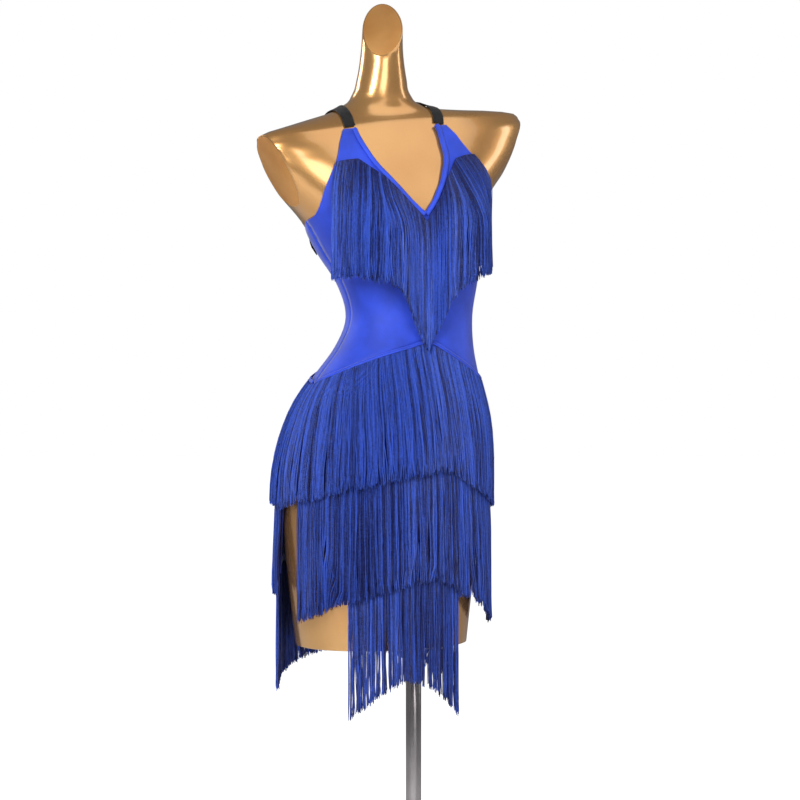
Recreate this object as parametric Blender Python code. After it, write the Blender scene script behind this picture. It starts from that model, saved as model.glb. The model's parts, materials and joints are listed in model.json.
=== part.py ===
"""A fringed latin dance dress on a limbless dress form and its steel stand.

The origin is the centre of the base plate's underside, under the pole.  +Z is up and the form
faces -Y, so its right side is at -X.  All lengths are metres and all angles are degrees.
"""

import math

import bmesh
import bpy
import numpy as np
from mathutils import Matrix, Vector
from mathutils.bvhtree import BVHTree

# ---------------------------------------------------------------------------------------------
# Driving dimensions
# ---------------------------------------------------------------------------------------------

# Dress form: one row for each level section, as level, centre x, centre y, half width, front
# depth, back depth, fullness and tilt.  A section is a flattened ring, and its tilt is its rise
# per metre towards +X, because the form has one hip pushed out and the other shoulder raised.
FORM_SECTIONS = (
    (0.586, -0.059, 0.000, 0.140, 0.113, 0.113, 2.10, 0.00),
    (0.640, -0.059, 0.000, 0.147, 0.115, 0.117, 2.10, 0.00),
    (0.720, -0.058, 0.000, 0.157, 0.118, 0.124, 2.10, 0.00),
    (0.800, -0.055, 0.000, 0.165, 0.119, 0.133, 2.10, 0.00),
    (0.865, -0.051, 0.000, 0.168, 0.118, 0.136, 2.10, 0.00),
    (0.920, -0.045, 0.000, 0.163, 0.113, 0.129, 2.10, 0.00),
    (0.965, -0.039, 0.000, 0.153, 0.105, 0.114, 2.10, 0.00),
    (1.005, -0.031, 0.000, 0.137, 0.095, 0.098, 2.10, 0.01),
    (1.050, -0.018, 0.000, 0.115, 0.084, 0.083, 2.10, 0.02),
    (1.100, -0.008, 0.000, 0.103, 0.078, 0.077, 2.10, 0.04),
    (1.158, -0.009, 0.002, 0.114, 0.084, 0.084, 2.15, 0.07),
    (1.215, -0.024, 0.005, 0.134, 0.088, 0.092, 2.20, 0.10),
    (1.268, -0.031, 0.008, 0.156, 0.086, 0.098, 2.25, 0.12),
    (1.320, -0.032, 0.010, 0.202, 0.078, 0.096, 2.25, 0.12),
    (1.365, -0.031, 0.012, 0.232, 0.069, 0.087, 2.30, 0.13),
    (1.398, -0.032, 0.013, 0.237, 0.059, 0.074, 2.30, 0.14),
    (1.412, -0.036, 0.014, 0.218, 0.053, 0.066, 2.30, 0.14),
    (1.420, -0.040, 0.015, 0.165, 0.048, 0.060, 2.20, 0.13),
    (1.427, -0.045, 0.014, 0.108, 0.044, 0.054, 2.10, 0.10),
    (1.438, -0.050, 0.012, 0.067, 0.041, 0.049, 2.00, 0.05),
    (1.455, -0.053, 0.010, 0.048, 0.038, 0.044, 2.00, 0.02),
    (1.480, -0.054, 0.007, 0.040, 0.036, 0.040, 2.00, 0.00),
    (1.520, -0.056, 0.003, 0.0335, 0.033, 0.036, 2.00, 0.00),
    (1.560, -0.057, -0.001, 0.0315, 0.032, 0.034, 2.00, 0.00),
    (1.640, -0.058, -0.008, 0.0290, 0.030, 0.032, 2.00, 0.00),
)
FORM_AXIS = (-0.045, 0.0)  # x and y of an upright line inside the form
BUST_LEVEL = 1.232         # height of the fullest point of the bust
BUST_SPACING = 0.086       # from the middle to each fullest point
BUST_DEPTH = 0.040         # how far the bust stands out from the chest section
BUST_WIDTH = 0.050         # spread of the bust across and up the chest
BUST_FALL = 1.35           # how much faster the bust fades below its fullest point
BUST_RISE = 0.85           # and above it
FORM_SIDES = 40            # columns of the form's mesh
# Flat cuts: a point on the cut, its outward normal, and the height above which it reaches
NECK_CUT = ((-0.057, 0.002, 1.560), (-0.43, -0.74, 0.52), 1.48)
ARM_CUT_RIGHT = ((-0.202, 0.0, 1.262), (-0.881, 0.0, -0.473), 1.20)
ARM_CUT_LEFT = ((0.142, 0.0, 1.301), (0.912, 0.0, -0.410), 1.25)

# Cloth
CLOTH_CLEAR = 0.0019       # from the form's skin to the stretch fabric
CLOTH_WALL = 0.0012        # stretch fabric
TRIM_CLEAR = 0.0050        # from the skin to what is sewn on the fabric
TRIM_WALL = 0.0010
FRINGE_WALL = 0.0030       # depth that a row of threads fills
FRINGE_LENGTH = 0.200      # cut length of every row of fringe
BUST_END_SHARES = (0.92, 0.98)     # share of it that is left at the bust fringe's two ends
BUST_FANS = ((-0.30, 0.00), (1.20, 0.35))      # sideways run per metre of fall at its two ends
BUST_FAN_REACH = 0.24      # share of the row, from each end, that fans out
BUST_FAN_END = 0.34        # share of a thread's length at which its fan has died away
BUST_TRIM_REACH = 0.30     # share of the row, from its middle, over which the trim grows
STRAP_WIDTH = 0.0180
STRAP_LIFT = 0.0022        # extra rise where one back strap passes over the other
BINDING_WIDTH = 0.007
BAND_WIDTH = 0.005
HALF_SEAM = 0.0006         # half of the gap along a seam between two panels
SIDE_ANGLE = 89.8          # the side seams stand at a right angle to the middle front

# Panel edges on the skin, as (angle, level) from the first column to the last.
NECK_EDGE_RIGHT = ((-21, 1.403), (-18.5, 1.372), (-16, 1.345), (-12, 1.318), (-7, 1.289), (0, 1.259))
NECK_EDGE_LEFT = ((7.5, 1.396), (9, 1.366), (10.5, 1.339), (9.5, 1.312), (6.5, 1.287), (0, 1.259))
ARM_EDGE_RIGHT = ((-26.5, 1.403), (-28.5, 1.386), (-32, 1.362), (-39, 1.337), (-49, 1.312),
                  (-61, 1.290), (-74, 1.275), (-89.8, 1.268))
ARM_EDGE_LEFT = ((12.5, 1.396), (15, 1.384), (20, 1.362), (28, 1.340), (39, 1.319),
                 (52, 1.298), (68, 1.282), (89.8, 1.270))
HIP_SEAM = ((-90, 0.994), (-65, 1.013), (-45, 1.031), (-22, 1.048), (-2, 1.058),
            (14, 1.043), (33, 1.024), (56, 1.006), (90, 0.997))
BACK_HIP_SEAM = ((90, 0.997), (125, 1.012), (155, 1.034), (180, 1.048), (205, 1.036),
                 (235, 1.010), (270, 0.994))
BACK_TOP = ((90, 1.270), (100, 1.258), (120, 1.222), (145, 1.180), (180, 1.160),
            (215, 1.180), (240, 1.222), (260, 1.257), (270, 1.268))
BUST_SEAM_RIGHT = ((-34.5, 1.351), (-29, 1.352), (-24, 1.352))     # across the foot of the tab
BUST_SEAM_LEFT = ((15.5, 1.341), (20, 1.345), (25, 1.346))
BUST_SEAM_INSET = 0.0088   # from the neck edge, along which the seam runs on to the V
BUST_SEAM_V = 1.2440       # level of the seam's lowest point
BUST_CLEARS = (0.0066, 0.0105)     # from the skin, at the seam and at the tips
BUST_SEAM_SHARES = (0.44, 0.46)    # where the seam joins the neck edges, right and left

# Straps: points that the middle of each strap passes over after its tab, down to the back.
STRAP_RIGHT = ((-0.139, -0.024, 1.413), (-0.136, 0.004, 1.428),
               (-0.122, 0.050, 1.414), (-0.098, 0.095, 1.378), (-0.055, 0.120, 1.325),
               (0.015, 0.115, 1.275), (0.066, 0.088, 1.243), (0.104, 0.062, 1.205))
STRAP_LEFT = ((0.016, -0.030, 1.418), (0.012, 0.004, 1.434),
              (0.000, 0.050, 1.425), (-0.022, 0.095, 1.385), (-0.062, 0.120, 1.325),
              (-0.118, 0.115, 1.262), (-0.150, 0.088, 1.222), (-0.168, 0.062, 1.182))
TAB_GAP = 0.0060           # rise from the top of a tab to the strap's end
STRAP_CENTRE = (-0.045, 0.000, 1.330)

# Rows of skirt fringe: name, the piece whose outside the row lies on, its sewn edge as (angle,
# level), and its clearances from that piece at the seam and at the tips.
FRONT_ROWS = (
    ("front_fringe_1", "dress_form",
     ((-89, 0.990), (-65, 1.009), (-45, 1.027), (-22, 1.044), (-2, 1.054), (14, 1.039),
      (33, 1.020), (56, 1.002), (89, 0.993)), 0.0050, 0.0135),
    ("front_fringe_2", "skirt_front",
     ((-77, 0.829), (-60, 0.840), (-42, 0.856), (-20, 0.876), (4, 0.888), (22, 0.866),
      (45, 0.838), (78, 0.812)), 0.0016, 0.0085),
    ("front_fringe_3", "skirt_front",
     ((-42, 0.684), (-30, 0.706), (-18, 0.728), (-8, 0.738), (4, 0.728), (14, 0.706),
      (24, 0.680)), 0.0016, 0.0016),
)
BACK_ROWS = (
    ("back_fringe_1", "dress_form",
     ((91, 0.993), (125, 1.008), (155, 1.030), (180, 1.044), (205, 1.032), (235, 1.006),
      (269, 0.990)), 0.0050, 0.0155),
    ("back_fringe_2", "skirt_back",
     ((101, 0.856), (125, 0.872), (155, 0.896), (180, 0.908), (205, 0.896), (235, 0.878),
      (263, 0.862)), 0.0016, 0.0085),
    ("back_fringe_3", "skirt_back",
     ((120, 0.715), (145, 0.742), (165, 0.758), (180, 0.762), (195, 0.758), (215, 0.744),
      (248, 0.714)), 0.0016, 0.0016),
)
SKIRT_FRONT_HEM = ((-90, 0.806), (-68, 0.818), (-57, 0.780), (-48, 0.664), (-40, 0.668),
                   (-30, 0.688), (-8, 0.720), (14, 0.688), (24, 0.662), (31, 0.662),
                   (40, 0.770), (50, 0.800), (90, 0.778))
SKIRT_BACK_HEM = ((90, 0.822), (104, 0.822), (110, 0.780), (116, 0.700), (122, 0.698),
                  (145, 0.726), (180, 0.746), (215, 0.728), (248, 0.698), (254, 0.700),
                  (259, 0.780), (264, 0.830), (270, 0.832))
SKIRT_TUCK = 0.045         # how far a skirt panel's side edges draw in for each metre of fall

LEAST_GAP = 0.0008         # kept between one cloth and the cloth that lies on it
EASE_ROUNDS = 8            # passes that lift cloth off the surface beneath it
EASE_SHARE = 0.90          # share of its clearance that a cloth keeps between its points
HANG_STEPS = 60            # steps in which a hanging path is followed
SKIRT_ROWS = 9             # rows of a skirt panel's mesh
FRINGE_STEP = 10           # steps of a thread between two rows of a fringe's mesh
BUST_STEP = 4              # the same for the bust fringe, which bends more
BINDING_LIFT = 0.0022      # extra rise where one neck binding crosses the other at the V
STRAP_CROSSING = 0.58      # share of a strap's length at which the two straps cross
STRAP_CROSSING_REACH = 0.10        # share of its length over which it rises to cross
STRAP_LAP_FROM = 0.80      # share of its length at which it starts to rise over the back panel
STRAP_LAP_REACH = 0.06     # share of its length that the rise takes
STRAP_STEPS = 40
BINDING_STEPS = 18
BAND_STEPS = 24
BINDING_RISE_FROM = 0.8    # share of a neck binding's length at which it starts to rise
BAND_ANGLE = 89.0          # how far the hip band runs to each side of the middle
NECK_ROWS = 10             # rows of the front bodice above the V
BODY_ROWS = 9              # and below it
HALF_COLUMNS = 12          # columns of half of the front bodice
BACK_COLUMNS = 23
BACK_ROW_COUNT = 9
SKIRT_COLUMNS = 35
ROW_COLUMNS = 20           # columns of a row of skirt fringe
BUST_COLUMNS = 50          # the same for the bust fringe
BUST_RUN_STEPS = 12        # points of the bust seam along each neck edge
PUSH_ROUNDS = 3            # times that a hanging point is pushed clear of what is under it
LEAST_SLOPE = 0.15         # skin that is flatter than this holds a thread up instead
CAST_FROM = 0.3            # distance outside the skin from which a point is dropped onto it
MERGE = 0.00001            # points nearer than this are one

# Stand
TOUCH_GAP = 0.0003         # between pieces that rest on each other
BASE_RADIUS = 0.180
BASE_THICKNESS = 0.008
SOCKET_RADIUS = 0.022
SOCKET_HEIGHT = 0.045
POLE_RADIUS = 0.0125
FLANGE_RADIUS = 0.045
FLANGE_THICKNESS = 0.006
ROUND_SIDES = 32

# Colours (linear), roughness and metallic values
GOLD = ((0.55, 0.30, 0.08), 0.22, 0.8)
STEEL = ((0.55, 0.55, 0.56), 0.25, 1.0)
STRETCH_BLUE = ((0.035, 0.065, 0.60), 0.55, 0.0)
FRINGE_BLUE = ((0.020, 0.040, 0.36), 0.60, 0.0)
BLACK_ELASTIC = ((0.012, 0.012, 0.014), 0.70, 0.0)


# ---------------------------------------------------------------------------------------------
# Form surface
# ---------------------------------------------------------------------------------------------

def blend_columns(rows, level):
    """Return every column of a table at one level, on smooth curves through its rows."""
    table = np.array(rows, dtype=float)
    levels = table[:, 0]
    level = min(max(level, levels[0]), levels[-1])
    index = int(min(max(np.searchsorted(levels, level) - 1, 0), len(levels) - 2))
    slopes = np.gradient(table, levels, axis=0)
    width = levels[index + 1] - levels[index]
    t = (level - levels[index]) / width
    rise = (2 * t ** 3 - 3 * t ** 2 + 1) * table[index] + (3 * t ** 2 - 2 * t ** 3) * table[index + 1]
    lean = (t ** 3 - 2 * t ** 2 + t) * slopes[index] + (t ** 3 - t ** 2) * slopes[index + 1]
    return rise + lean * width


def form_point(level, angle, stand_off=0.0):
    """Point on the form's skin: angle 0 is the middle front and 90 is the form's left side."""
    _, cx, cy, half_width, front, back, fullness, tilt = blend_columns(FORM_SECTIONS, level)
    across = math.sin(math.radians(angle))
    forward = math.cos(math.radians(angle))
    power = 2.0 / fullness
    x = half_width * math.copysign(abs(across) ** power, across)
    depth = front if forward > 0 else back
    y = -depth * math.copysign(abs(forward) ** power, forward)
    z = level + tilt * x
    if forward > 0:
        for side in (-1, 1):
            reach_x = (x - side * BUST_SPACING) / BUST_WIDTH
            reach_z = (level - BUST_LEVEL) / BUST_WIDTH
            fade = BUST_FALL if level < BUST_LEVEL else BUST_RISE
            y -= BUST_DEPTH * forward ** 0.5 * math.exp(-reach_x ** 2 - fade * reach_z ** 2)
    return np.array((cx + x, cy + y, z))


# ---------------------------------------------------------------------------------------------
# Helpers
# ---------------------------------------------------------------------------------------------

def make_material(name, finish):
    """Build a Principled material from a (colour, roughness, metallic) finish."""
    colour, roughness, metallic = finish
    material = bpy.data.materials.new(name)
    material.use_nodes = True
    shader = material.node_tree.nodes["Principled BSDF"]
    shader.inputs["Base Color"].default_value = (*colour, 1.0)
    shader.inputs["Roughness"].default_value = roughness
    shader.inputs["Metallic"].default_value = metallic
    return material


def add_object(name, mesh_builder, material, smooth_angle=40.0):
    """Turn a bmesh into a named object with one material."""
    mesh = bpy.data.meshes.new(name)
    mesh_builder.to_mesh(mesh)
    mesh_builder.free()
    mesh.materials.append(material)
    mesh.shade_smooth()
    mesh.set_sharp_from_angle(angle=math.radians(smooth_angle))
    obj = bpy.data.objects.new(name, mesh)
    bpy.context.scene.collection.objects.link(obj)
    return obj


def thicken(obj, wall):
    """Give a single-layer cloth its wall, grown outwards from the form."""
    modifier = obj.modifiers.new("wall", "SOLIDIFY")
    modifier.thickness = wall
    modifier.offset = 1.0
    return obj


def along(points, share):
    """Read a smooth curve through a short list of points, at a share of its run from 0 to 1."""
    table = np.array(points, dtype=float)
    steps = np.linalg.norm(np.diff(table * (1.0, *([90.0] * (table.shape[1] - 1))), axis=0), axis=1)
    run = np.concatenate(((0.0,), np.cumsum(steps)))
    rows = np.column_stack((run / run[-1], table))
    return blend_columns(rows, share)[1:]


def point_along(points, share):
    """Read a chain of straight runs through 3-D points, at a share of its length."""
    table = np.array(points, dtype=float)
    run = np.concatenate(((0.0,), np.cumsum(np.linalg.norm(np.diff(table, axis=0), axis=1))))
    return Vector([np.interp(share * run[-1], run, table[:, axis]) for axis in range(3)])


def level_at(points, angle):
    """Level of an edge that is given as (angle, level) points, at one angle."""
    return float(blend_columns(points, angle)[1])


def grid_cloth(columns):
    """Make one layer of cloth from columns of points, all of the same length."""
    across = len(columns)
    down = len(columns[0])
    builder = bmesh.new()
    bmesh.ops.create_grid(builder, x_segments=across - 1, y_segments=down - 1, size=0.5)
    for vertex in builder.verts:
        column = round((vertex.co.x + 0.5) * (across - 1))
        row = round((0.5 - vertex.co.y) * (down - 1))
        vertex.co = columns[column][row]
    return builder


def faces_out(point, normal):
    """Tell whether a surface beside a point looks away from the form's axis."""
    return normal.x * (point.x - FORM_AXIS[0]) + normal.y * (point.y - FORM_AXIS[1]) > 0.0


def ease_off(builder, skin, clear):
    """Move a cloth's points out until its edges and faces clear the surface too."""
    for _ in range(EASE_ROUNDS):
        for item in builder.edges[:] + builder.faces[:]:
            middle = sum((vertex.co for vertex in item.verts), Vector()) / len(item.verts)
            place, normal, _, _ = skin.tree.find_nearest(middle)
            short = clear - (middle - place).dot(normal)
            if 0.0 < short < clear * 2 and faces_out(middle, normal):
                for vertex in item.verts:
                    vertex.co += normal * short
    return builder


class Skin:
    """A finished surface, the form or a skirt panel, on which cloth or fringe is laid."""

    def __init__(self, obj):
        bpy.context.view_layer.update()
        self.tree = BVHTree.FromObject(obj, bpy.context.evaluated_depsgraph_get())

    def lift(self, point, clear):
        """Move a point straight off the skin until it stands at the clearance."""
        place, normal, _, _ = self.tree.find_nearest(point)
        return place + normal * clear

    def push_out(self, point, clear):
        """Push a hanging point level out of the form, only if it is nearer than the clearance."""
        moved = Vector(point)
        for _ in range(PUSH_ROUNDS):
            place, normal, _, _ = self.tree.find_nearest(moved)
            short = clear - (moved - place).dot(normal)
            level_out = Vector((normal.x, normal.y, 0.0))
            if short <= 0.0 or level_out.length < LEAST_SLOPE or not faces_out(moved, normal):
                break
            moved += level_out * (short / level_out.length_squared)
        return moved

    def hang(self, start, length, clearances, drift=(0.0, 0.0), by_height=False, drift_end=None):
        """Follow a thread that hangs from a seam: it falls straight down except over the form.

        The length is measured along the thread, or straight down where by_height is set.  Its
        sideways drift dies away at drift_end, a share of the length, where that is given.
        """
        first_clear, last_clear = clearances
        points = [Vector(start)]
        step = length / HANG_STEPS
        for index in range(HANG_STEPS):
            share = (index + 1) / HANG_STEPS
            clear = first_clear + (last_clear - first_clear) * share
            pull = max(0.0, 1.0 - index / HANG_STEPS / drift_end) * step if drift_end else step
            ahead = points[-1] + Vector((drift[0] * pull, drift[1] * pull, -step))
            ahead = self.push_out(ahead, clear)
            run = ahead - points[-1]
            points.append(ahead if by_height else points[-1] + run * (step / run.length))
        return points

    def from_outside(self, level, angle, clear):
        """Find the point outside the surface that is level with a point of the form."""
        target = Vector(form_point(level, angle))
        centre = Vector((*blend_columns(FORM_SECTIONS, level)[1:3], target.z))
        outwards = (target - centre).normalized()
        place, normal, _, _ = self.tree.ray_cast(target + outwards * CAST_FROM, -outwards)
        return place + normal * clear

    def from_centre(self, centre, target, clear):
        """Drop a point onto the skin along a line from inside the form."""
        origin = Vector(centre)
        place, normal, _, _ = self.tree.ray_cast(origin, (Vector(target) - origin).normalized())
        return place + normal * clear, normal


# ---------------------------------------------------------------------------------------------
# Dress form and stand
# ---------------------------------------------------------------------------------------------

def cut_flat(builder, point, normal, floor):
    """Slice the part of the form above a height with a plane, and close the cut."""
    faces = [face for face in builder.faces if face.calc_center_median().z > floor]
    edges = list({edge for face in faces for edge in face.edges})
    vertices = list({vertex for face in faces for vertex in face.verts})
    cut = bmesh.ops.bisect_plane(builder, geom=faces + edges + vertices, dist=MERGE,
                                 plane_co=point, plane_no=normal, clear_outer=True)
    rim = [item for item in cut["geom_cut"] if isinstance(item, bmesh.types.BMEdge)]
    bmesh.ops.holes_fill(builder, edges=rim, sides=0)


def build_form(material):
    """Loft the dress form through its level sections and cut the neck and the arms flat."""
    levels = np.concatenate((np.linspace(FORM_SECTIONS[0][0], 1.30, 27), np.linspace(1.325, 1.39, 4),
                             np.linspace(1.40, 1.45, 9), np.linspace(1.47, FORM_SECTIONS[-1][0], 6)))
    angles = np.linspace(0.0, 360.0, FORM_SIDES + 1)
    builder = grid_cloth([[form_point(level, angle) for level in levels[::-1]] for angle in angles])
    bmesh.ops.remove_doubles(builder, verts=builder.verts[:], dist=MERGE)
    for point, normal, floor in (NECK_CUT, ARM_CUT_RIGHT, ARM_CUT_LEFT):
        cut_flat(builder, point, Vector(normal).normalized(), floor)
    rim = [edge for edge in builder.edges if edge.is_boundary]
    bmesh.ops.holes_fill(builder, edges=rim, sides=0)
    bmesh.ops.recalc_face_normals(builder, faces=builder.faces[:])
    return add_object("dress_form", builder, material)


def build_disc(name, radius, low, high, material, edge=0.0015):
    """Make a round plate or rod that stands on the pole's axis, with its rims eased."""
    builder = bmesh.new()
    place = Matrix.Translation((0.0, 0.0, (low + high) / 2))
    bmesh.ops.create_cone(builder, cap_ends=True, segments=ROUND_SIDES, radius1=radius,
                          radius2=radius, depth=high - low, matrix=place)
    rims = [item for item in builder.edges if abs(item.verts[0].co.z - item.verts[1].co.z) < 0.0001]
    bmesh.ops.bevel(builder, geom=rims, offset=edge, segments=1, profile=0.5, affect="EDGES")
    return add_object(name, builder, material)


def build_stand(material):
    """Stack the base plate, its socket, the pole and the flange that carries the form."""
    form_bottom = FORM_SECTIONS[0][0]
    flange_bottom = form_bottom - TOUCH_GAP - FLANGE_THICKNESS
    socket_bottom = BASE_THICKNESS + TOUCH_GAP
    pole_bottom = socket_bottom + SOCKET_HEIGHT + TOUCH_GAP
    build_disc("stand_base", BASE_RADIUS, 0.0, BASE_THICKNESS, material)
    build_disc("stand_socket", SOCKET_RADIUS, socket_bottom, socket_bottom + SOCKET_HEIGHT, material)
    build_disc("stand_pole", POLE_RADIUS, pole_bottom, flange_bottom - TOUCH_GAP, material, 0.0005)
    build_disc("stand_flange", FLANGE_RADIUS, flange_bottom, form_bottom - TOUCH_GAP, material)


# ---------------------------------------------------------------------------------------------
# Bodice and skirt panels
# ---------------------------------------------------------------------------------------------

def patch(top, bottom, inner, outer):
    """Fill a four-sided outline of (angle, level) points evenly, as columns from inner to outer."""
    columns = []
    last_column = len(top) - 1
    last_row = len(inner) - 1
    for i in range(last_column + 1):
        u = i / last_column
        column = []
        for j in range(last_row + 1):
            v = j / last_row
            sides = (1 - u) * inner[j] + u * outer[j]
            ends = (1 - v) * top[i] + v * bottom[i]
            corners = ((1 - u) * (1 - v) * top[0] + u * (1 - v) * top[-1]
                       + (1 - u) * v * bottom[0] + u * v * bottom[-1])
            column.append(sides + ends - corners)
        columns.append(column)
    return columns


def on_skin(skin, columns, clear):
    """Turn columns of (angle, level) points into points that stand off the form."""
    return [[skin.lift(form_point(level, angle), clear) for angle, level in column]
            for column in columns]


def front_half(neck_edge, arm_edge, side):
    """Lay out one half of the front bodice, from the tab at the shoulder to the hip seam."""
    low_neck = np.array((0.0, neck_edge[-1][1]))
    peak = np.array((0.0, level_at(HIP_SEAM, 0.0) + HALF_SEAM))
    neck = [along(neck_edge, row / NECK_ROWS) for row in range(NECK_ROWS)]
    middle = [low_neck + (peak - low_neck) * row / BODY_ROWS for row in range(BODY_ROWS + 1)]
    seam_top = np.array(arm_edge[-1], dtype=float)
    seam_end = np.array((side * SIDE_ANGLE, level_at(HIP_SEAM, side * SIDE_ANGLE) + HALF_SEAM))
    arm = [along(arm_edge, row / NECK_ROWS) for row in range(NECK_ROWS)]
    side_seam = [seam_top + (seam_end - seam_top) * row / BODY_ROWS for row in range(BODY_ROWS + 1)]
    top = [neck[0] + (arm[0] - neck[0]) * column / HALF_COLUMNS for column in range(HALF_COLUMNS + 1)]
    angles = [side * SIDE_ANGLE * column / HALF_COLUMNS for column in range(HALF_COLUMNS + 1)]
    bottom = [np.array((angle, level_at(HIP_SEAM, angle) + HALF_SEAM)) for angle in angles]
    return patch(top, bottom, neck + middle, arm + side_seam)


def build_bodice(skin, material):
    """Make the front with its V neck and shoulder tabs, and the low-cut back."""
    right = front_half(NECK_EDGE_RIGHT, ARM_EDGE_RIGHT, -1)
    left = front_half(NECK_EDGE_LEFT, ARM_EDGE_LEFT, 1)
    builder = grid_cloth(on_skin(skin, right[::-1], CLOTH_CLEAR))
    other = grid_cloth(on_skin(skin, left, CLOTH_CLEAR))
    spare = bpy.data.meshes.new("left_half")
    other.to_mesh(spare)
    other.free()
    builder.from_mesh(spare)
    bpy.data.meshes.remove(spare)
    bmesh.ops.remove_doubles(builder, verts=builder.verts[:], dist=MERGE * 5)
    ease_off(builder, skin, CLOTH_CLEAR * EASE_SHARE)
    thicken(add_object("bodice_front", builder, material), CLOTH_WALL)

    columns = []
    for angle in np.linspace(180.0 - SIDE_ANGLE, 180.0 + SIDE_ANGLE, BACK_COLUMNS):
        high = level_at(BACK_TOP, angle)
        low = level_at(BACK_HIP_SEAM, angle) + HALF_SEAM
        columns.append([(angle, level) for level in np.linspace(high, low, BACK_ROW_COUNT)])
    builder = grid_cloth(on_skin(skin, columns, CLOTH_CLEAR))
    ease_off(builder, skin, CLOTH_CLEAR * EASE_SHARE)
    thicken(add_object("bodice_back", builder, material), CLOTH_WALL)


def angle_of(point, middle):
    """Read the angle of a point about the form, in the turn that is centred on the middle."""
    _, cx, cy, half_width, front, back, _, _ = blend_columns(FORM_SECTIONS, point.z)
    depth = front if point.y < cy else back
    angle = math.degrees(math.atan2((point.x - cx) / half_width, (cy - point.y) / depth))
    return middle + (angle - middle + 180.0) % 360.0 - 180.0


def skirt_column(skin, seam, hem, angle, middle):
    """Hang one column of a skirt panel from the hip seam down to its hem."""
    start = skin.lift(form_point(level_at(seam, angle) - HALF_SEAM, angle), CLOTH_CLEAR)
    turn = math.radians(angle)
    tuck = SKIRT_TUCK * ((angle - middle) / 90.0) ** 3
    sideways = (-tuck * math.cos(turn), -tuck * math.sin(turn))
    lowest = min(level for _, level in hem)
    path = skin.hang(start, start.z - lowest, (CLOTH_CLEAR, CLOTH_CLEAR), sideways, True)
    kept = [point for point in path if point.z > level_at(hem, angle_of(point, middle))]
    places = np.linspace(0.0, len(kept) - 1.0, SKIRT_ROWS)
    return [kept[int(place)].lerp(kept[min(int(place) + 1, len(kept) - 1)], place % 1.0)
            for place in places]


def build_skirt(skin, material):
    """Make the hidden skirt panels that carry the rows of fringe, open at both sides."""
    panels = (("skirt_front", HIP_SEAM, SKIRT_FRONT_HEM, 0.0),
              ("skirt_back", BACK_HIP_SEAM, SKIRT_BACK_HEM, 180.0))
    for name, seam, hem, middle in panels:
        angles = np.linspace(middle - SIDE_ANGLE, middle + SIDE_ANGLE, SKIRT_COLUMNS)
        columns = [skirt_column(skin, seam, hem, angle, middle) for angle in angles]
        builder = ease_off(grid_cloth(columns), skin, CLOTH_CLEAR * EASE_SHARE)
        thicken(add_object(name, builder, material), CLOTH_WALL)


# ---------------------------------------------------------------------------------------------
# Trim: neck binding, hip band and straps
# ---------------------------------------------------------------------------------------------

def strip_columns(skin, path, normals, width, clears):
    """Lay a narrow strip along a path on the skin, with three points across its width."""
    columns = []
    last = len(path) - 1
    for index, point in enumerate(path):
        run = path[min(index + 1, last)] - path[max(index - 1, 0)]
        across = run.cross(normals[index]).normalized()
        shifts = (-0.5, 0.0, 0.5)
        columns.append([skin.lift(point + across * width * shift, clears[index]) for shift in shifts])
    return columns


def edge_strip(skin, edge, count, inset, width, clears):
    """Lay a strip beside an (angle, level) edge, moved inwards from it."""
    path = [skin.lift(form_point(*along(edge, step / count)[::-1]), CLOTH_CLEAR)
            for step in range(count + 1)]
    normals = [skin.tree.find_nearest(point)[1] for point in path]
    moved = []
    for index, point in enumerate(path):
        run = path[min(index + 1, count)] - path[max(index - 1, 0)]
        moved.append(point + run.cross(normals[index]).normalized() * inset)
    return strip_columns(skin, moved, normals, width, clears)


def build_trim(skin, material):
    """Make the neck bindings, which cross at the V, and the narrow band along the hip seam."""
    count = BINDING_STEPS
    late = 1.0 - BINDING_RISE_FROM
    rise = [TRIM_CLEAR + BINDING_LIFT * max(0.0, step / count - BINDING_RISE_FROM) / late
            for step in range(count + 1)]
    level = [TRIM_CLEAR] * (count + 1)
    inset = BINDING_WIDTH / 2
    right = edge_strip(skin, NECK_EDGE_RIGHT, count, inset, BINDING_WIDTH, rise)
    left = edge_strip(skin, NECK_EDGE_LEFT[::-1], count, inset, BINDING_WIDTH, level)
    for name, columns in (("neck_binding_right", right), ("neck_binding_left", left)):
        builder = ease_off(grid_cloth(columns), skin, TRIM_CLEAR * EASE_SHARE)
        thicken(add_object(name, builder, material), TRIM_WALL)
    bands = (("hip_band_front", HIP_SEAM, 0.0), ("hip_band_back", BACK_HIP_SEAM, 180.0))
    for name, seam, middle in bands:
        path = []
        for angle in np.linspace(middle - BAND_ANGLE, middle + BAND_ANGLE, BAND_STEPS + 1):
            path.append(skin.lift(form_point(level_at(seam, angle), angle), CLOTH_CLEAR))
        normals = [skin.tree.find_nearest(point)[1] for point in path]
        columns = strip_columns(skin, path, normals, BAND_WIDTH, [TRIM_CLEAR] * len(path))
        builder = ease_off(grid_cloth(columns), skin, TRIM_CLEAR * EASE_SHARE)
        thicken(add_object(name, builder, material), TRIM_WALL)


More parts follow.
